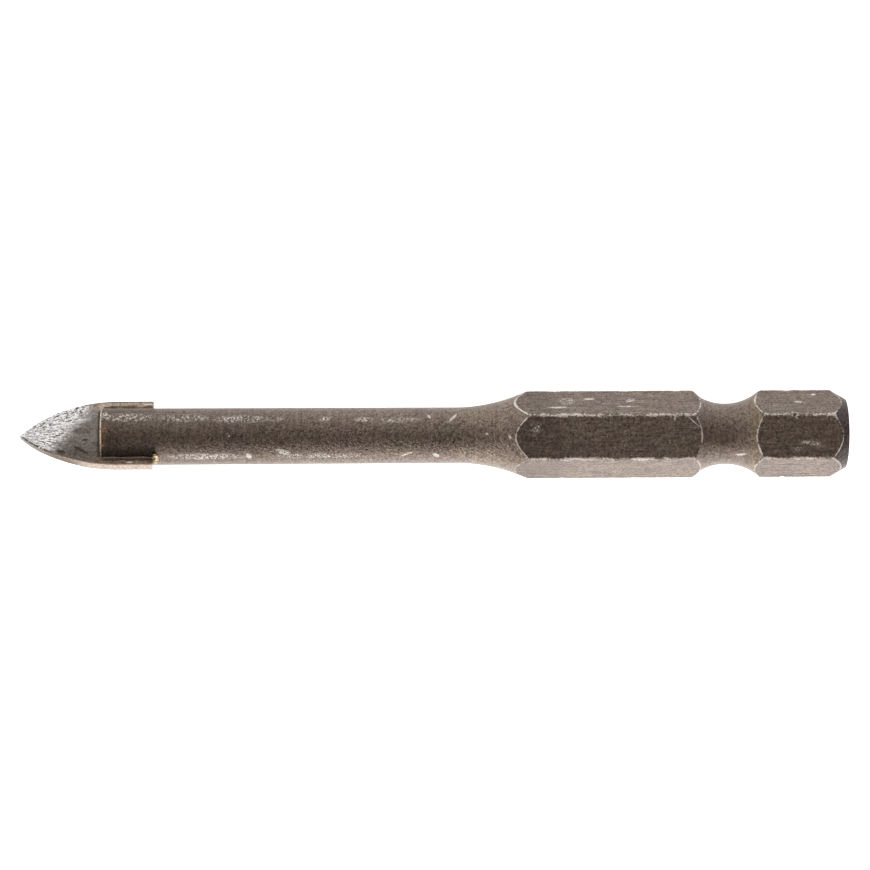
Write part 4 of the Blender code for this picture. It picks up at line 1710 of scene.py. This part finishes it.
# %% [markdown]
# ## The white table and the light
#
# The photograph was taken on a white table that is bright enough to leave no shadow: its picture
# is pure white right up to the steel. The metal shows where the light was. Its top faces are dark
# because they mirror the dark room round the camera, its sides are bright because they mirror the
# table and low lamps, and the side at the bottom of the picture is the brighter one. So the table
# glows a little, as a light table does, and more on that side.

# %% The table
FLOOR_SIZE = 2.0
FLOOR_CORNERS = ((-1, -1), (1, -1), (1, 1), (-1, 1))
TABLE_GREY = (0.8, 0.8, 0.8, 1.0)
TABLE_ROUGHNESS = 0.9
WHITE_GLOW = (1.0, 1.0, 1.0, 1.0)
GLOW_BEHIND = 0.90
GLOW_BEFORE = 1.9
GLOW_REACH = 5.0


def make_table_top():
    """A white, matt surface that glows, more before the bit than behind it."""
    material = bpy.data.materials.new("white_table")
    material.use_nodes = True
    shader = material.node_tree.nodes["Principled BSDF"]
    shader.inputs["Base Color"].default_value = TABLE_GREY
    shader.inputs["Roughness"].default_value = TABLE_ROUGHNESS
    shader.inputs["Emission Color"].default_value = WHITE_GLOW
    bench = NodeBench(material.node_tree)
    across = bench.split(bench.add("ShaderNodeTexCoord").outputs["Object"])["Y"]
    reach = GLOW_REACH * MM
    glow = bench.ramp(across, -reach, reach, GLOW_BEFORE, GLOW_BEHIND)
    bench.feed(shader.inputs["Emission Strength"], glow)
    return material


def make_floor():
    mesh = bpy.data.meshes.new("white_table")
    half_size = FLOOR_SIZE / 2
    corners = [(x * half_size, y * half_size, -FLAT_RADIUS * MM) for x, y in FLOOR_CORNERS]
    mesh.from_pydata(corners, [], [(0, 1, 2, 3)])
    mesh.materials.append(make_table_top())
    floor = add_object("white_table", mesh)


make_floor()
print("the table glows", GLOW_BEHIND, "behind the bit and", GLOW_BEFORE, "before it")

# %% [markdown]
# The sky is a dome that is dark overhead and bright lower down. The end of the shank is darker
# than the neck, so the dome is also dark low down on that side. One long soft lamp stands low
# beside the bit.

# %% The dome of light
DOME_HOLE = math.radians(38)
DOME_RIM = math.radians(66)
HOLE_AXIS = (0.16, -0.23, 0.960)
FAR_END = (0.4, 0.85)
FAR_END_DIM = 0.75
HOLE_LIGHT = (0.166, 0.123, 0.102, 1.0)
DOME_LIGHT = (1.05, 1.03, 1.0, 1.0)


def make_dome():
    world = bpy.data.worlds.new("studio")
    world.use_nodes = True
    bench = NodeBench(world.node_tree)
    direction = bench.add("ShaderNodeTexCoord").outputs["Generated"]
    towards = bench.vector("DOT_PRODUCT", direction, HOLE_AXIS)
    dark = bench.ramp(towards, math.cos(DOME_RIM), math.cos(DOME_HOLE))
    dark = bench.most(dark, bench.ramp(bench.split(direction)["X"], *FAR_END, 0.0, FAR_END_DIM))
    light = bench.mix(dark, DOME_LIGHT, HOLE_LIGHT)
    bench.feed(world.node_tree.nodes["Background"].inputs["Color"], light)
    bpy.context.scene.world = world


make_dome()
print("the dark hole overhead is", round(2 * math.degrees(DOME_HOLE)), "degrees wide")

# %% The lamp
LAMP_SIZE = (0.5, 0.16)
LAMP_POWER = 0.56
LAMP_DISTANCE = 0.5
LAMP_HEIGHT = math.radians(12)


def make_lamp():
    data = bpy.data.lights.new("long_lamp", "AREA")
    data.shape = "RECTANGLE"
    data.size, data.size_y = LAMP_SIZE
    data.energy = LAMP_POWER
    lamp = add_object("long_lamp", data)
    middle = Vector((-STEEL_LENGTH / 2 * MM, 0.0, 0.0))
    away = Vector((0.0, -math.cos(LAMP_HEIGHT), math.sin(LAMP_HEIGHT)))
    lamp.location = middle + away * LAMP_DISTANCE
    lamp.rotation_euler = away.to_track_quat("Z", "Y").to_euler()


make_lamp()
bpy.context.scene.view_settings.view_transform = "Standard"
print("the lamp is", LAMP_DISTANCE, "m away,", round(math.degrees(LAMP_HEIGHT)), "degrees up")

# %% [markdown]
